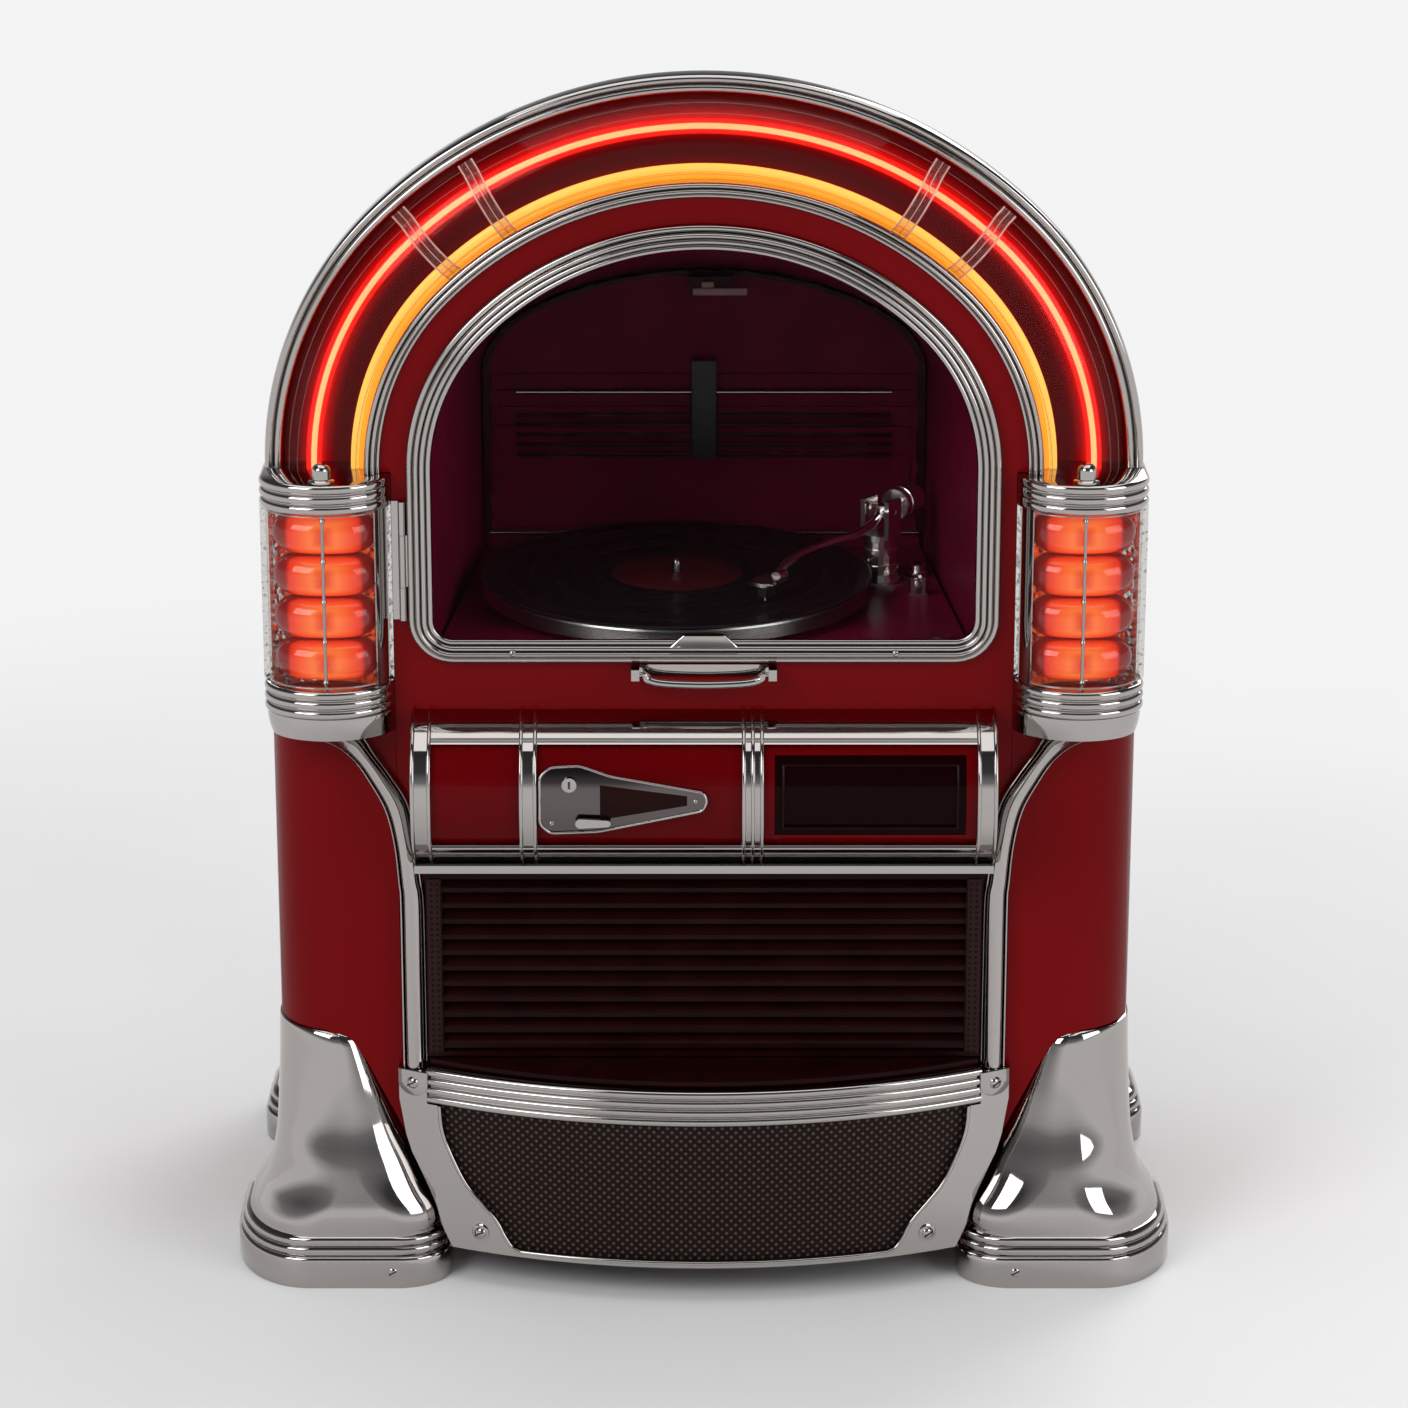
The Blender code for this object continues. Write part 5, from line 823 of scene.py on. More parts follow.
def corner_shares(level):
    """Radii of a foot's corners as shares of its width and length: outer front first, then round it."""
    base = ((0.36, 0.55), (0.25, 0.25), (0.25, 0.25), (0.24, 0.24))
    flank = ((0.48, 0.62), (0.28, 0.25), (0.28, 0.25), (0.42, 0.36))
    top = ((0.78, 0.70), (0.18, 0.15), (0.18, 0.15), (0.22, 0.17))
    if level < FLANK_LEVEL:
        pairs, mix = zip(base, flank), max(0, level) / FLANK_LEVEL
    else:
        pairs, mix = zip(flank, top), min(1, (level - FLANK_LEVEL) / (1 - FLANK_LEVEL))
    mix = mix * mix * (3 - 2 * mix)
    return [[a + (b - a) * mix for a, b in zip(*pair)] for pair in pairs]


def foot_section(side, facing, z, inner_share, outer_share):
    """A foot's outline at one height, drawn in by shares of its inner and outer lean."""
    low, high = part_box("front_right_foot")
    inner, outer = low.x + 69 * MM * inner_share, high.x - 34.5 * MM * outer_share
    front, back = low.y + 40 * MM * inner_share, high.y - 33 * MM * outer_share
    ends = ((outer, -1, front, 1), (outer, -1, back, -1), (inner, 1, back, -1), (inner, 1, front, 1))
    points = []
    for place, (share_x, share_y) in enumerate(corner_shares(inner_share)):
        x, in_x, y, in_y = ends[place]
        across, along = share_x * (outer - inner), share_y * (back - front)
        for t in shares(12):
            turn = pi / 2 * (place - 1 + t)
            points.append((x + across * (in_x + cos(turn)), y + along * (in_y + sin(turn))))
    if facing < 0:
        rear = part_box("rear_right_foot")[1].y
        points = [(x, low.y + rear - y) for x, y in points]
    return [(side * x, y, z) for x, y in points]


def foot_levels():
    """Smooth levels of a foot: a plinth, two bead rings and the bell's flank."""
    inset = 5 / 69
    plinth, bell = 25.4 * MM, 42 * MM
    levels = [(0, 0.010, 0.015), (1.2 * MM, 0, 0), (22.6 * MM, 0, 0),
              (24.4 * MM, inset * 0.25, inset * 0.4), (plinth, inset, inset * 1.7)]
    for ring in range(2):
        for t in shares(8)[1:]:
            rise = (ring + t) / 2
            inner = inset * (1.0 + 0.15 * rise - 0.70 * swell(t))
            outer = inset * (1.7 + 2.0 * rise ** 1.5 - 1.3 * swell(t))
            levels.append((plinth + 15.6 * MM * rise, inner, outer))
    flank = [(0.0, 0.085, 0.275), (0.05, 0.075, 0.37), (0.12, 0.11, 0.55), (0.20, 0.19, 0.72),
             (0.36, 0.37, 0.885), (0.50, 0.555, 0.945), (0.68, 0.735, 0.978), (0.82, 0.865, 0.998),
             (0.925, 0.955, 1.006)]
    dense = smooth_path(flank, 4)
    level, inner, outer = flank[-1]
    lean = radians(20)
    for share in shares(9)[1:]:
        t = lean + (pi / 2 - lean) * share
        along = (sin(t) - sin(lean)) / (1 - sin(lean))
        over = (cos(lean) - cos(t)) / cos(lean)
        dense.append(Vector((level + (1 - level) * along, inner + 0.20 * over, outer + 0.020 * over)))
    return levels + [(bell + (FOOT_TOP_Z - bell) * p.x, p.y, p.z) for p in dense]


def feet():
    """The four bell feet, with a screw in each front one."""
    for side, across in SIDES:
        for facing, along in ((1, "front"), (-1, "rear")):
            name = "%s_%s_foot" % (along, across)
            sections = [foot_section(side, facing, *level) for level in foot_levels()]
            finish(skin("bell_" + name, sections, smooth=radians(50)), FOOT_CHROME, name)
    low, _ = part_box("front_right_foot")
    places = [((side * (low.x + 44 * MM), low.y + 1.2 * MM, 13 * MM), FORWARD) for side, _ in SIDES]
    screws("foot_screws", places, 4.2)


def corner_drop(x):
    """How far the cabinet's rounded front corner falls back at one place across."""
    over = min(max(abs(x) - (CHEEK_HALF - CHEEK_CORNER), 0), CHEEK_CORNER)
    return CHEEK_CORNER - sqrt(CHEEK_CORNER * CHEEK_CORNER - over * over)


def cheek_corners():
    """Lacquered fillers behind the rounded top corner of each front foot, flush with the cheek."""
    low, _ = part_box("front_right_foot")
    bottom, top = FOOT_TOP_Z - 20 * MM, FOOT_TOP_Z + 2 * MM
    for side, name in SIDES:
        sections = []
        for t in shares(12):
            x = low.x + (58 + 34 * t) * MM
            near = FRONT_Y + corner_drop(x) + GAP
            far = near + 3 * MM
            corners = ((near, bottom), (near, top), (far, top), (far, bottom))
            sections.append([(side * x, y, z) for y, z in corners])
        finish(skin("cheek_corner_" + name, sections), CRIMSON)


def window_frames(half, bottom_z, corner):
    """Stations round the window: (x, z, outward x, outward z) on the outline of one half width."""
    foot_z = bottom_z + corner
    stations = [(cx + ox * (half + shift), cz + oz * (half + shift), ox, oz)
                for cx, cz, ox, oz, shift in arch_frames(foot_z)[:-1]]
    stations.append((half, foot_z, 1.0, 0.0))
    turns_right = [-pi / 2 * share for share in shares(12)[1:]]
    turns_left = [-pi / 2 * (1 + share) for share in shares(12)[:-1]]
    for centre, angles in ((half - corner, turns_right), (corner - half, turns_left)):
        stations += [(centre + corner * cos(t), foot_z + corner * sin(t), cos(t), sin(t)) for t in angles]
    return stations


def door():
    """The window's ribbed rim, its hinge leaf, its latch lug and its screws."""
    profile = [(DOOR_OUTER, 0.0)]
    for far, near, base, height in mm((0, 5.2, -4.2, 2.6), (5.2, 9.4, -7.4, 3.2), (9.4, 14, -6.4, 3.0),
                                      (14, 18.5, -5.2, 2.4)):
        profile += ribs(DOOR_OUTER - near, DOOR_OUTER - far, base, 1, height)[::-1]
    inner, sill = DOOR_OUTER - 18.5 * MM, -4.9 * MM
    profile += [(inner, sill), (inner + 4.3 * MM, sill), (inner + 4.3 * MM, 0.0)]
    section = [(DOOR_OUTER - a, FRONT_Y + d - GAP) for a, d in profile]
    sections = [[(x - ox * inward, y, z - oz * inward) for inward, y in section]
                for x, z, ox, oz in window_frames(DOOR_OUTER, GLASS_LOW_Z - 14.2 * MM, 33 * MM)]
    finish(skin("door_rim", sections, cyclic=True), CHROME, "door_frame", "door")
    hinge, rise = (HINGE_X, FRONT_Y - 4.2 * MM, HINGE_Z), 39.4
    barrel = mm((1.7, rise), (2.8, rise), (2.8, 0), (1.7, 0), (1.7, rise))
    knuckle = turned("door_knuckle", barrel, 24, Matrix.Translation(hinge))
    tab = block("door_tab", hinge, (1.9, 0, 0), (5.7, 2.4, rise), 0.6)
    finish(joined("door_knuckle_leaf", [knuckle, tab]), CHROME, body="door")
    low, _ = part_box("door_frame")
    plan = mm((-25, -4.5), (25, -4.5), (19, 1.0), (15, 4.5), (-15, 4.5), (-19, 1.0))
    sections = [[(x * share, FRONT_Y - out, low.z + 18.5 * MM + up * share) for x, up in plan]
                for out, share in ((6 * MM, 1), (10.9 * MM, 1), (11.5 * MM, 0.93))]
    finish(skin("latch_lug", sections), CHROME, body="door")
    places = [((side * 141 * MM, FRONT_Y - 10.4 * MM, low.z + 9 * MM), FORWARD) for side, _ in SIDES]
    screws("door_screws", places, 2.6, "door")


def console_y(z, rise=0.0):
    """The console's curved face at one height, standing proud by rise."""
    t = max(-1.0, min(1.0, (z - CONSOLE_Z) / (CONSOLE_HALF_HEIGHT + rise)))
    return FRONT_Y - GAP - (CONSOLE_BULGE + rise) * sqrt(1 - t * t)


def console_ring(x, radius, rise):
    """A half round bead over the console at one place across."""
    depth, height = CONSOLE_BULGE + rise, CONSOLE_HALF_HEIGHT + rise
    angles = [pi * (0.96 * share - 0.48) for share in shares(32)]
    points = [(x, FRONT_Y - GAP - depth * cos(t), CONSOLE_Z + height * sin(t)) for t in angles]
    return wire("bead", points, radius)


def console():
    """Red body, chrome bands with beads, blank window and escutcheon."""
    resurfaced("selector_frame")
    resurfaced("selector_body")
    sunk, radius = -0.2 * MM, 1.5 * MM
    end, band = CONSOLE_HALF - 1.4 * MM, CONSOLE_HALF - END_BAND + 1.4 * MM
    edges = [-end, -band, band, end]
    edges += [x + shift * MM for x, shift in zip(CONSOLE_LINES, (1.3, -1.3, 1.3, 0, -1.3))]
    beads = [console_ring(x, radius, sunk) for x in edges]
    reach = CONSOLE_HALF - END_BAND
    beads += [wire("rail", [(-reach, console_y(z, sunk), z), (reach, console_y(z, sunk), z)], radius)
              for z in CONSOLE_RAILS_Z]
    finish(joined("console_beads", beads), CHROME)
    inner = [wire("display_edge", points, 1.0 * MM, 8) for points in display_loops()]
    finish(joined("display_inner_frame", inner), LOUVRE_BLACK)
    escutcheon()


def display_loops():
    """The blank window's inner frame, following the console's curve."""
    low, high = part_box("display_window")
    inset, rise = 6 * MM, -3.8 * MM
    heights = [low.z + inset + (high.z - low.z - 2 * inset) * t for t in shares(10)]
    up = [(low.x + inset, console_y(z, rise), z) for z in heights]
    down = [(high.x - inset, y, z) for _, y, z in reversed(up)]
    return [up, down, [up[-1], down[0]], [up[0], down[-1]]]


def sliced(work, low_z, high_z, count):
    """Cuts a flat piece at even heights, so that it can follow a curve."""
    for t in shares(count)[1:-1]:
        bmesh.ops.bisect_plane(work, geom=work.verts[:] + work.edges[:] + work.faces[:],
                               plane_co=(0, 0, low_z + (high_z - low_z) * t), plane_no=(0, 0, 1))


def rounded(corners, cut_most):
    """A closed outline with each corner rounded off."""
    outline = []
    for i, here in enumerate(corners):
        before, after = corners[i - 1] - here, corners[(i + 1) % len(corners)] - here
        cut = min(cut_most, before.length * 0.4, after.length * 0.4)
        a, b = here + before.normalized() * cut, here + after.normalized() * cut
        outline += [(1 - t) ** 2 * a + 2 * t * (1 - t) * here + t * t * b for t in shares(4)]
    return outline


def escutcheon():
    """A tapered plate with a rolled rim and a sunk field, wrapped on the console."""
    low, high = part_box("escutcheon")

    def spot(a, b):
        return low.x + (high.x - low.x) * a, low.z + (high.z - low.z) * b

    plan = ((0.0, 0.15), (0.06, 0.0), (0.35, 0.03), (0.97, 0.36), (1.0, 0.5), (0.98, 0.63), (0.42, 0.86),
            (0.24, 1.0), (0.06, 0.98), (0.0, 0.86))
    outline = rounded([Vector((x, 0, z)) for x, z in [spot(*share) for share in plan]], 4 * MM)
    work = bmesh.new()
    face = work.faces.new([work.verts.new(p) for p in outline])
    lift = work.verts.layers.float.new("lift")
    for vert in work.verts:
        vert[lift] = -0.6 * MM
    for thickness, height in mm((0.5, 1.0), (0.9, 1.6), (0.9, 1.4), (0.7, 0.3)):
        bmesh.ops.inset_region(work, faces=[face], thickness=thickness, use_even_offset=True)
        for vert in face.verts:
            vert[lift] = height
    bmesh.ops.triangulate(work, faces=[face])
    sliced(work, low.z, high.z, 24)
    for vert in work.verts:
        vert.co.y = console_y(vert.co.z, vert[lift])
    finish(from_bmesh("escutcheon_plate", work), DARK_CHROME, "escutcheon")
    edge = [(p.x, console_y(p.z, 1.0 * MM), p.z) for p in outline + outline[:1]]
    finish(wire("escutcheon_rim", edge, 1.0 * MM, 10), CHROME)
    field = [spot(*share) for share in ((0.36, 0.22), (0.88, 0.44), (0.88, 0.58), (0.36, 0.74))]
    work = bmesh.new()
    work.faces.new([work.verts.new((x, 0, z)) for x, z in field])
    sliced(work, field[0][1], field[-1][1], 10)
    for vert in work.verts:
        vert.co.y = console_y(vert.co.z, 0.5 * MM)
    finish(from_bmesh("escutcheon_field", work), LOUVRE_BLACK)
    places = [((x, console_y(z, 0.4 * MM), z), FORWARD) for x, z in (spot(0.07, 0.16), spot(0.93, 0.50))]
    screws("escutcheon_screws", places, 1.9)


def louvres():
    """The perforated strips beside the louvres."""
    strips = []
    for side, _ in SIDES:
        place = (side * STRIP_X, FRONT_Y, LOUVRE_BOTTOM_Z)
        strips.append(block("strip", place, (-5, -12.2, 3), (5, -11, 142.5), 0.3))
    finish(joined("perforated_strips", strips), PERFORATED)


BOW_RADIUS = (BOW_HALF * BOW_HALF + BOW_RISE * BOW_RISE) / (2 * BOW_RISE)
BOW_CENTRE_Y = FRONT_Y - 4 * MM - BOW_RISE + BOW_RADIUS


def bow_point(turn, proud):
    """A place round the bowed front as (x, y)."""
    return (BOW_RADIUS + proud) * sin(turn), BOW_CENTRE_Y - (BOW_RADIUS + proud) * cos(turn)


def on_bow(x, z, proud):
    """A place on the bowed front, proud of its face, and the direction out of it."""
    turn = asin(max(-1.0, min(1.0, x / BOW_RADIUS)))
    return (*bow_point(turn, proud), z), (sin(turn), -cos(turn), 0)


def bow_sweep(name, profile, half):
    """A profile of (outward, z) points carried round the bowed front."""
    reach = asin(half / BOW_RADIUS)
    angles = [reach * (2 * t - 1) for t in shares(64)]
    return skin(name, [[(*bow_point(turn, outward), z) for outward, z in profile] for turn in angles])


def mesh_bead():
    """The thin bright bead round the lower grille."""
    low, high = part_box("mesh_grille")
    narrow = 138.4 * MM
    edge = ((0.0, 0.0), (0.03, 0.18), (0.14, 0.35), (0.31, 0.54), (0.49, 0.66), (0.70, 0.79), (0.80, 0.895),
            (0.90, 0.975), (1.0, 1.0))
    wide, tall = high.x - narrow, high.z - low.z
    right = smooth_path([(high.x - wide * a, high.z - tall * b, 0) for a, b in edge], 5)
    base = [Vector((right[-1].x * (1 - k / 12), right[-1].y, 0)) for k in range(1, 24)]
    left = [Vector((-p.x, p.y, 0)) for p in reversed(right)]
    points = [on_bow(p.x, p.y, 3.0 * MM)[0] for p in right + base + left]
    finish(wire("mesh_bead", points, 1.5 * MM), CHROME)


def clip(side):
    """A square chrome plate with a round foot, which joins the bow, the apron and the moulding."""
    half = 11.2 * MM
    outline = [(half, 10.2 * MM), (-half, 10.2 * MM)]
    outline += [(-half * cos(pi * share), -9.4 * MM * sin(pi * share) - 1 * MM) for share in shares(16)]
    sections = [[on_bow(side * (CLIP_X + x * share), CLIP_Z + z * share, proud)[0] for x, z in outline]
                for share, proud in ((1.0, 3.2 * MM), (1.0, 4.6 * MM), (0.93, 5.2 * MM))]
    return skin("clip", sections)


def lower_front():
    """The ribbed band over the lower grille, and the apron's clips, washers and screws."""
    low, high = BAND_LOW.z, BAND_HIGH.z
    rise = (high - low) / 4
    profile = [(1.2 * MM + 2.7 * MM * swell(t), low + rise * (i + 0.03 + 0.94 * t))
               for i in range(4) for t in shares(8)]
    profile = [(-4 * MM, low)] + profile + [(-4 * MM, high)]
    finish(bow_sweep("bow_band_ribs", profile, BAND_HIGH.x - 0.2 * MM), CHROME, "bow_band")
    mesh_bead()
    finish(joined("apron_clips", [clip(-1), clip(1)]), CHROME)
    washer = mm((0, 1.2), (6.0, 1.2), (6.8, 0.6), (6.8, -0.5))
    places, washers = [], []
    for side, _ in SIDES:
        places.append(on_bow(side * APRON_SCREW_X, APRON_SCREW_Z, 4.0 * MM))
        places.append(on_bow(side * CLIP_X, CLIP_Z, 5.0 * MM))
        seat = aim(*on_bow(side * APRON_SCREW_X, APRON_SCREW_Z, 3.0 * MM))
        washers.append(turned("washer", washer, 32, seat))
    finish(joined("apron_washers", washers), CHROME)
    screws("apron_screws", places, 4.8)


def moulding_stations():
    """The right moulding from its foot to the collar: (outer x, outer z, inner x, inner z, proud)."""
    low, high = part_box("side_moulding_right")
    inner, outer = low.x, low.x + 19.4 * MM
    foot, bend, top, proud = low.z, 0.300, high.z, 14 * MM
    across = COLUMN_X + COLUMN_HALF_WIDTH * 0.58 - outer
    back_across = COLUMN_X - COLUMN_HALF_WIDTH * 0.556 - inner
    outer_shares = ((0, 0), (0.01, 0.11), (0.047, 0.338), (0.125, 0.535), (0.26, 0.693), (0.42, 0.835),
                    (0.645, 0.938), (1, 1))
    inner_shares = ((0.01, 0), (0.07, 0.14), (0.155, 0.368), (0.275, 0.582), (0.586, 0.752), (0.84, 0.87),
                    (0.957, 0.95), (1, 1))
    depth_shares = (1, 1, 1, 1, 1.08, 1.25, 1.6, 2.2)
    stations = [(outer, z, inner, z, proud) for z in (foot, (foot + bend) / 2)]
    for (a, up), (b, rest), share in zip(outer_shares, inner_shares, depth_shares):
        stations.append((outer + across * a, bend + (top - bend) * up,
                         inner + back_across * b, bend + (top - bend) * rest, proud * share))
    return stations


def moulding():
    """Ribbed chrome that runs up each side of the grille and spreads out under the collar."""
    stations = moulding_stations()
    outer = smooth_path([(x, z, proud) for x, z, _, _, proud in stations])
    inner = smooth_path([(x, z, 0) for _, _, x, z, _ in stations])
    lifts = [(0.0, 0.45)]
    for low, high, base, height, count in ((0.0, 0.11, 0.50, 0.14, 4), (0.11, 0.89, 0.42, 0.56, 20),
                                           (0.89, 1.0, 0.50, 0.14, 4)):
        lifts += [(low + (high - low) * (0.02 + 0.96 * t), base + height * swell(t)) for t in shares(count)]
    lifts.append((1.0, 0.45))
    for side, name in SIDES:
        sections = []
        for a, b in zip(outer, inner):
            row = [(a.x, FRONT_Y - GAP, a.y)]
            row += [(a.x + (b.x - a.x) * t, FRONT_Y - a.z * lift, a.y + (b.y - a.y) * t)
                    for t, lift in lifts]
            row.append((b.x, FRONT_Y - GAP, b.y))
            sections.append([(side * x, y + corner_drop(x), z) for x, y, z in row])
        finish(skin("moulding_" + name, sections), CHROME, "side_moulding_" + name)


def nuts_and_handle():
    """The dome nuts of the columns and the bail of the pull handle."""
    for _, name in SIDES:
        low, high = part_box("dome_nut_" + name)
        r = (high.x - low.x) / 2
        dome = [(0.72 * sin(t), 0.9 + 0.6 * cos(t)) for t in [pi / 2 * share for share in shares(8)[1:]]]
        base = [(0.72, 0.30), (0.86, 0.26), (1, 0.14), (1, 0), (0, 0)]
        profile = [(r * a, r * b) for a, b in [(0, 1.5)] + dome + base]
        place = Matrix.Translation(((low.x + high.x) / 2, (low.y + high.y) / 2, low.z))
        finish(turned("acorn_nut_" + name, profile, 32, place), CHROME, "dome_nut_" + name)
    low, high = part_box("pull_handle")
    y, z = (low.y + high.y) / 2, HANDLE_Z
    half = 44 * MM
    sag = ((-1, 0), (-0.93, 4.2), (-0.66, 6.9), (0, 8), (0.66, 6.9), (0.93, 4.2), (1, 0))
    bail = wire("bail", smooth_path([(half * a, y, z - b * MM) for a, b in sag]), 2.9 * MM, 20)
    knob = mm((0, 1.6), (2.6, 1.2), (3.4, 0), (2.6, -1.2), (0, -1.6))
    ends = [wire("pin", [(side * 42 * MM, y, z), (side * 52 * MM, y, z)], 1.8 * MM, 16) for side, _ in SIDES]
    ends += [turned("knob", knob, 20, aim((side * half, y, z), (1, 0, 0))) for side, _ in SIDES]
    finish(joined("pull_bail", [bail] + ends), CHROME, "pull_handle", "handle")


def record():
    """The grooved disc, its label and the platter below it."""
    low, high, r = RECORD_LOW.z, RECORD_HIGH.z, RECORD_RADIUS
    place = Matrix.Translation((RECORD_AXIS.x, RECORD_AXIS.y, 0))
    groove = high - 0.5 * MM
    profile = [(50 * MM, high - 0.35 * MM), (53 * MM, groove), (0.975 * r, groove),
               (0.99 * r, high - 0.15 * MM), (r, (low + high) / 2), (0.99 * r, low), (4 * MM, low),
               (4 * MM, low + 0.4 * MM)]
    finish(turned("vinyl_disc", profile, 160, place), VINYL, "record", "turntable")
    label = mm((3.9, 0), (15, 0), (15.6, -0.12), (16.2, 0), (49.5, 0), (50, -0.4))
    profile = [(3.9 * MM, low + 0.5 * MM)] + [(a, high + up) for a, up in label]
    finish(turned("disc_label", profile, 96, place), LABEL, body="turntable")
    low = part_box("platter")[0].z
    rim_low, rim_high = PLATTER_RIM_Z
    r = PLATTER_RADIUS
    profile = [(a, SPINDLE_TOP_Z - down) for a, down in mm((0, 0), (1.6, 0.2), (3.2, 2), (3.6, 4))]
    profile += [(3.6 * MM, rim_high), (r - 2 * MM, rim_high), (r - 0.6 * MM, rim_high - 0.6 * MM)]
    for k in range(12):
        z = rim_high - 2 * MM - 0.9 * MM * k
        profile += [(r, z), (r - 0.5 * MM, z - 0.45 * MM)]
    hub = rim_low - 0.9 * MM
    profile += [(r - 5 * MM, rim_low), (20 * MM, rim_low), (20 * MM, hub), (5 * MM, hub), (5 * MM, low),
                (0, low)]
    finish(turned("platter_disc", profile, 128, place), TURNED_ALUMINIUM, "platter", "turntable")


def tonearm():
    """The arm with its headshell, cartridge, pivot and counterweight, built along X and then placed."""
    run = Vector((STYLUS_X, STYLUS_Y, ARM_PIVOT.z)) - ARM_PIVOT
    place = Matrix.Translation(ARM_PIVOT) @ Matrix.Rotation(atan2(run.y, run.x), 4, "Z")
    reach = run.length
    drop = ARM_PIVOT.z - STYLUS_Z
    shell = 15 * MM - drop
    end = reach - 18.2 * MM
    points = [(end * t, 11 * MM * sin(2 * pi * t) * (1 - 0.2 * t), shell * t) for t in shares(40)]
    tube = wire("arm_tube", points, 3.2 * MM, 16)
    ring = turned("arm_collar", mm((0, 5), (4.4, 5), (4.8, 4), (4.8, -4), (4.4, -5), (0, -5)), 24,
                  aim((end - 4 * MM, 0.8 * MM, shell * 0.97), (1, 0, -0.1)))
    plan = [(end - 8 * MM, -5), (end - 2 * MM, -9), (reach + 6 * MM, -8), (reach + 7.8 * MM, -5),
            (reach + 7.8 * MM, 5), (reach + 6 * MM, 8), (end - 2 * MM, 9), (end - 8 * MM, 5)]
    plate = prism("headshell_plate", [(x, s * MM) for x, s in plan], (shell + 1.6 * MM, shell - 1.2 * MM))
    finger = [(reach + x, y, shell + z) for x, y, z in mm((2, 7, 0), (3, 12, 0.5), (5, 15, 3))]
    lift = wire("finger_lift", smooth_path(finger), 0.9 * MM, 10)
    body = block("cartridge", (reach, 0, -drop), (-12, -4.4, 4), (1.5, 4.4, 14), 0.8)
    tip = reach - 3.7 * MM
    stylus = wire("stylus", [(tip, 0, 5 * MM - drop), (tip, 0, 0.4 * MM - drop)], 0.6 * MM, 8)
    pin = wire("cross_pin", mm((0, -12.6, 0), (0, 12.6, 0)), 1.95 * MM, 20)
    pivot = block("pivot_block", (0, 0, 0), (-5.4, -7.6, -4.6), (5.4, 7.6, 4.6), 1)
    tail = wire("tail", mm((-51.8, 0, 0), (-4, 0, 0)), 2.8 * MM, 16)
    weight = turned("weight", mm((0, -19.6), (12, -19.6), (13, -20.6), (13, -25), (12.2, -25.4), (12.2, -27),
                                 (13, -27.4), (13, -44.4), (12, -45.4), (6, -45.4), (6, -48.4), (0, -48.4)),
                    48, Matrix.Rotation(pi / 2, 4, "Y"))
    metal = [tube, ring, lift, pin, pivot, tail, weight, stylus]
    for name, pieces, look, node in (("arm_metal", metal, BRIGHTENED_ARM_CHROME, "tonearm"),
                                     ("headshell", [plate], BRIGHTENED_ARM_CHROME, None),
                                     ("cartridge_body", [body], BLACK_PLASTIC, None)):
        for piece in pieces:
            piece.data.transform(place)
        finish(joined(name, pieces), look, node, "arm")


def arm_tower():
    """Rings and a skating dial on the arm's stand."""
    deck = DECK_TOP_Z - 12 * MM
    tower = Matrix.Translation((ARM_PIVOT.x, ARM_PIVOT.y, deck))
    flange = mm((13.2, 2.6), (20.6, 2.5), (21.9, 1.6), (21.9, 0.4), (13.2, 0.4))
    ring = mm((13, 2), (14.4, 1.6), (14.4, -1.6), (13, -2))
    rings = [turned("arm_flange", flange, 48, tower)]
    rings += [turned("tower_ring", ring, 40, tower @ Matrix.Translation((0, 0, up * MM))) for up in (14, 27)]
    finish(joined("tower_rings", rings), BRIGHTENED_ARM_CHROME)
    dial = mm((0, 11), (5.6, 11), (6.4, 10.2), (6.4, 5), (8, 4.6), (8, 0.2), (0, 0.2))
    beside = tower @ Matrix.Translation((30 * MM, 14 * MM, 0))
    finish(turned("dial", dial, 32, beside), BRIGHTENED_ARM_CHROME)


def resurfaced(name):
    """A node's own surface with its seams joined, so that its curves shade smoothly."""
    node = NODES[name]
    work = bmesh.new()
    verts = [work.verts.new(node.matrix_world @ vert.co) for vert in node.data.vertices]
    for face in node.data.polygons:
        work.faces.new([verts[i] for i in face.vertices])
    bmesh.ops.remove_doubles(work, verts=work.verts, dist=0.001 * MM)
    bmesh.ops.dissolve_limit(work, angle_limit=radians(0.5), verts=work.verts, edges=work.edges)
    made = from_bmesh(name + "_surface", work, radians(31))
    made.modifiers.new("even_shading", "WEIGHTED_NORMAL").keep_sharp = True
    finish(made, node.data.materials[0], name)


def dressed_nodes():
    """Better materials on the CAD nodes that keep their shape."""
    for look, names in NODE_LOOKS.items():
        for name in names:
            NODES[name].data.materials[0] = look
    for name in ("cabinet_shell", "left_cheek", "right_cheek", "front_panel", "compartment_liner"):
        resurfaced(name)


def compartment_details():
    """Rails, slats, bracket and lamp on the rear wall, and the bright edge of the deck."""
    front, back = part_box("rear_wall")[0].y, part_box("rear_wall")[1].y
    rails = [wire("rail", [(-half, y, z), (half, y, z)], radius, 10) for half, y, z, radius in (
        (150 * MM, front - 1 * MM, WALL_RAIL_Z, 1.4 * MM), (172 * MM, back - 20 * MM, DECK_TOP_Z, 1.0 * MM))]
    finish(joined("compartment_rails", rails), CHROME)
    trim_low, trim_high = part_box("rear_arch_trim")
    fitting = (0, trim_low.y, trim_high.z)
    shade = block("shade", fitting, (-9, -4, -17), (34, 2, -11), 1.2)
    hood = block("hood", fitting, (-2, -3, -11), (8, 2, -6), 1.2)
    finish(joined("compartment_lamp", [shade, hood]), LAMP_SHADE)
    foot = (0, front, SLATS_Z)
    slats = [block("slat", foot, (-150, -2.2, 8 * k), (150, 0, 8 * k + 3.6), 0.8) for k in range(5)]
    finish(joined("wall_slats", slats), DARK_TRIM)
    finish(block("bracket", foot, (-10, -8, 0), (10, 1, 80), 1.2), BLACK_PLASTIC)


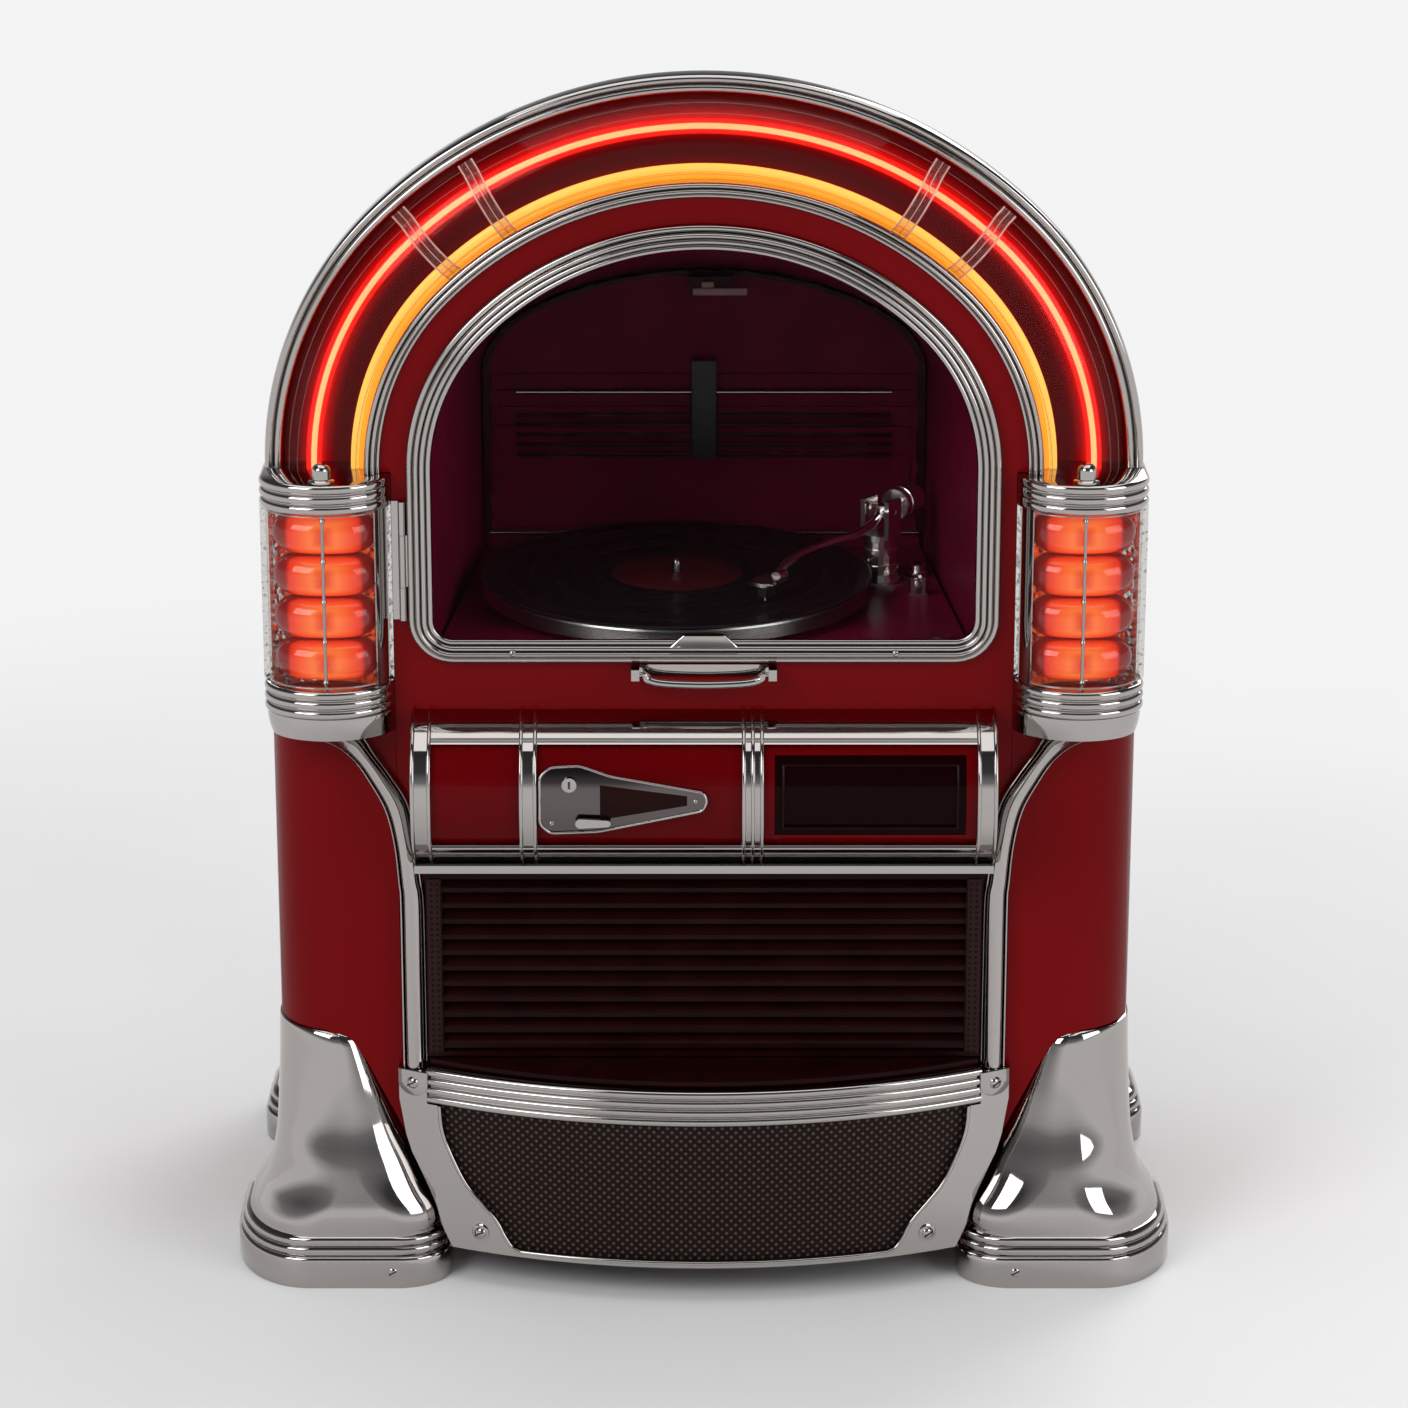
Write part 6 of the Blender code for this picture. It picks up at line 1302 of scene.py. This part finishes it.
def back_details():
    """The screws of the back panel and the pins of the power inlet."""
    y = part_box("back_panel")[1].y
    places = [((side * 286 * MM, y - 1.2 * MM, z), (0, 1, 0))
              for z in BACK_SCREWS_Z for side, _ in SIDES]
    screws("back_screws", places, 3.4)
    pins = [block("inlet_pin", (INLET_X, y, INLET_Z), (x - 1, -9, -2.6), (x + 1, -3, 2.6), 0.3)
            for x in (-7, 0, 7)]
    finish(joined("inlet_pins", pins), STEEL)


def shown(made):
    """1 for the rays that show the background: camera, glossy and transmission rays."""
    path = add(made, "ShaderNodeLightPath")
    total = path.outputs["Is Camera Ray"]
    for name in ("Is Glossy Ray", "Is Transmission Ray"):
        total = maths(made, "MAXIMUM", total, path.outputs[name])
    return total


def mixed(made, factor, one, two):
    """A blend of two shaders."""
    mix = add(made, "ShaderNodeMixShader")
    for source, target in zip((factor, one, two), mix.inputs):
        link(made, source, target)
    return mix.outputs[0]


def pale_floor():
    """A pale floor that keeps the object's shadow near it and is evenly pale further out."""
    made = mottled("pale_floor", (0.78, 0.78, 0.78), (0.80, 0.80, 0.80), 0.6, 0.7, 4, 0.02)
    length = add(made, "ShaderNodeVectorMath", operation="LENGTH")
    link(made, coordinates(made), length.inputs[0])
    reach = {"From Min": 0.75, "From Max": 1.9}
    far = add(made, "ShaderNodeMapRange", interpolation_type="SMOOTHSTEP", **reach)
    link(made, length.outputs["Value"], far.inputs["Value"])
    factor = maths(made, "MULTIPLY", far.outputs["Result"], shown(made))
    even = add(made, "ShaderNodeEmission", Color=(*PALE, 1))
    surface = mixed(made, factor, shader_of(made).outputs[0], even.outputs[0])
    link(made, surface, made.node_tree.nodes["Material Output"].inputs["Surface"])
    return made


def studio():
    """Pale near the horizon and grey overhead, for the background and for what metal and glass show."""
    world = bpy.data.worlds.new("studio")
    bpy.context.scene.world = world
    world.use_nodes = True
    world.node_tree.nodes.clear()
    plain = add(world, "ShaderNodeBackground", Color=(0.62, 0.62, 0.63, 1), Strength=0.55)
    split = add(world, "ShaderNodeSeparateXYZ")
    link(world, add(world, "ShaderNodeTexCoord").outputs["Generated"], split.inputs[0])
    stops = ((0.0, PALE), (0.08, PALE), (0.22, (0.30, 0.30, 0.31)), (0.45, (0.07, 0.07, 0.075)),
             (1.0, (0.04, 0.04, 0.04)))
    dome = add(world, "ShaderNodeBackground")
    link(world, ramp(world, split.outputs["Z"], stops), dome.inputs["Color"])
    surface = mixed(world, shown(world), plain.outputs[0], dome.outputs[0])
    link(world, surface, add(world, "ShaderNodeOutputWorld").inputs["Surface"])


def facing(place, target):
    """A matrix at a place whose view runs to a target."""
    turn = (Vector(target) - Vector(place)).to_track_quat("-Z", "Y")
    return Matrix.Translation(place) @ turn.to_matrix().to_4x4()


def floor_and_light():
    """The floor, the studio round it and four soft lamps."""
    scene = bpy.context.scene
    bpy.ops.mesh.primitive_plane_add(size=30)
    ground = bpy.context.object
    ground.name = "floor"
    ground.data.materials.append(pale_floor())
    studio()
    lamps = (("key", (-2.2, -2.6, 2.6), 1.9, 62), ("fill", (2.6, -2.2, 1.7), 1.8, 34),
             ("top", (0.0, 0.2, 3.2), 3.0, 46), ("back", (1.4, 2.6, 2.2), 1.6, 40))
    for name, place, size, power in lamps:
        data = bpy.data.lights.new(name, "AREA")
        data.shape = "SQUARE"
        data.size = size
        data.energy = power
        lamp = bpy.data.objects.new(name, data)
        lamp.matrix_world = facing(place, (0, 0, 0.45))
        scene.collection.objects.link(lamp)
    scene.view_settings.view_transform = "Standard"


def camera():
    """The photograph's view: from the front and a little above."""
    data = bpy.data.cameras.new("camera")
    data.sensor_width = 36
    data.lens = 116.5
    made = bpy.data.objects.new("camera", data)
    target, pitch, distance = Vector((0, -0.138, 0.447)), radians(17.5), 3.4
    made.matrix_world = facing(target + Vector((0, -cos(pitch), sin(pitch))) * distance, target)
    bpy.context.scene.collection.objects.link(made)
    bpy.context.scene.camera = made


dressed_nodes()
arch_rings()
arch_cover()
neon()
tray_floor()
columns()
feet()
cheek_corners()
door()
console()
louvres()
lower_front()
moulding()
nuts_and_handle()
record()
tonearm()
arm_tower()
compartment_details()
back_details()
floor_and_light()
camera()
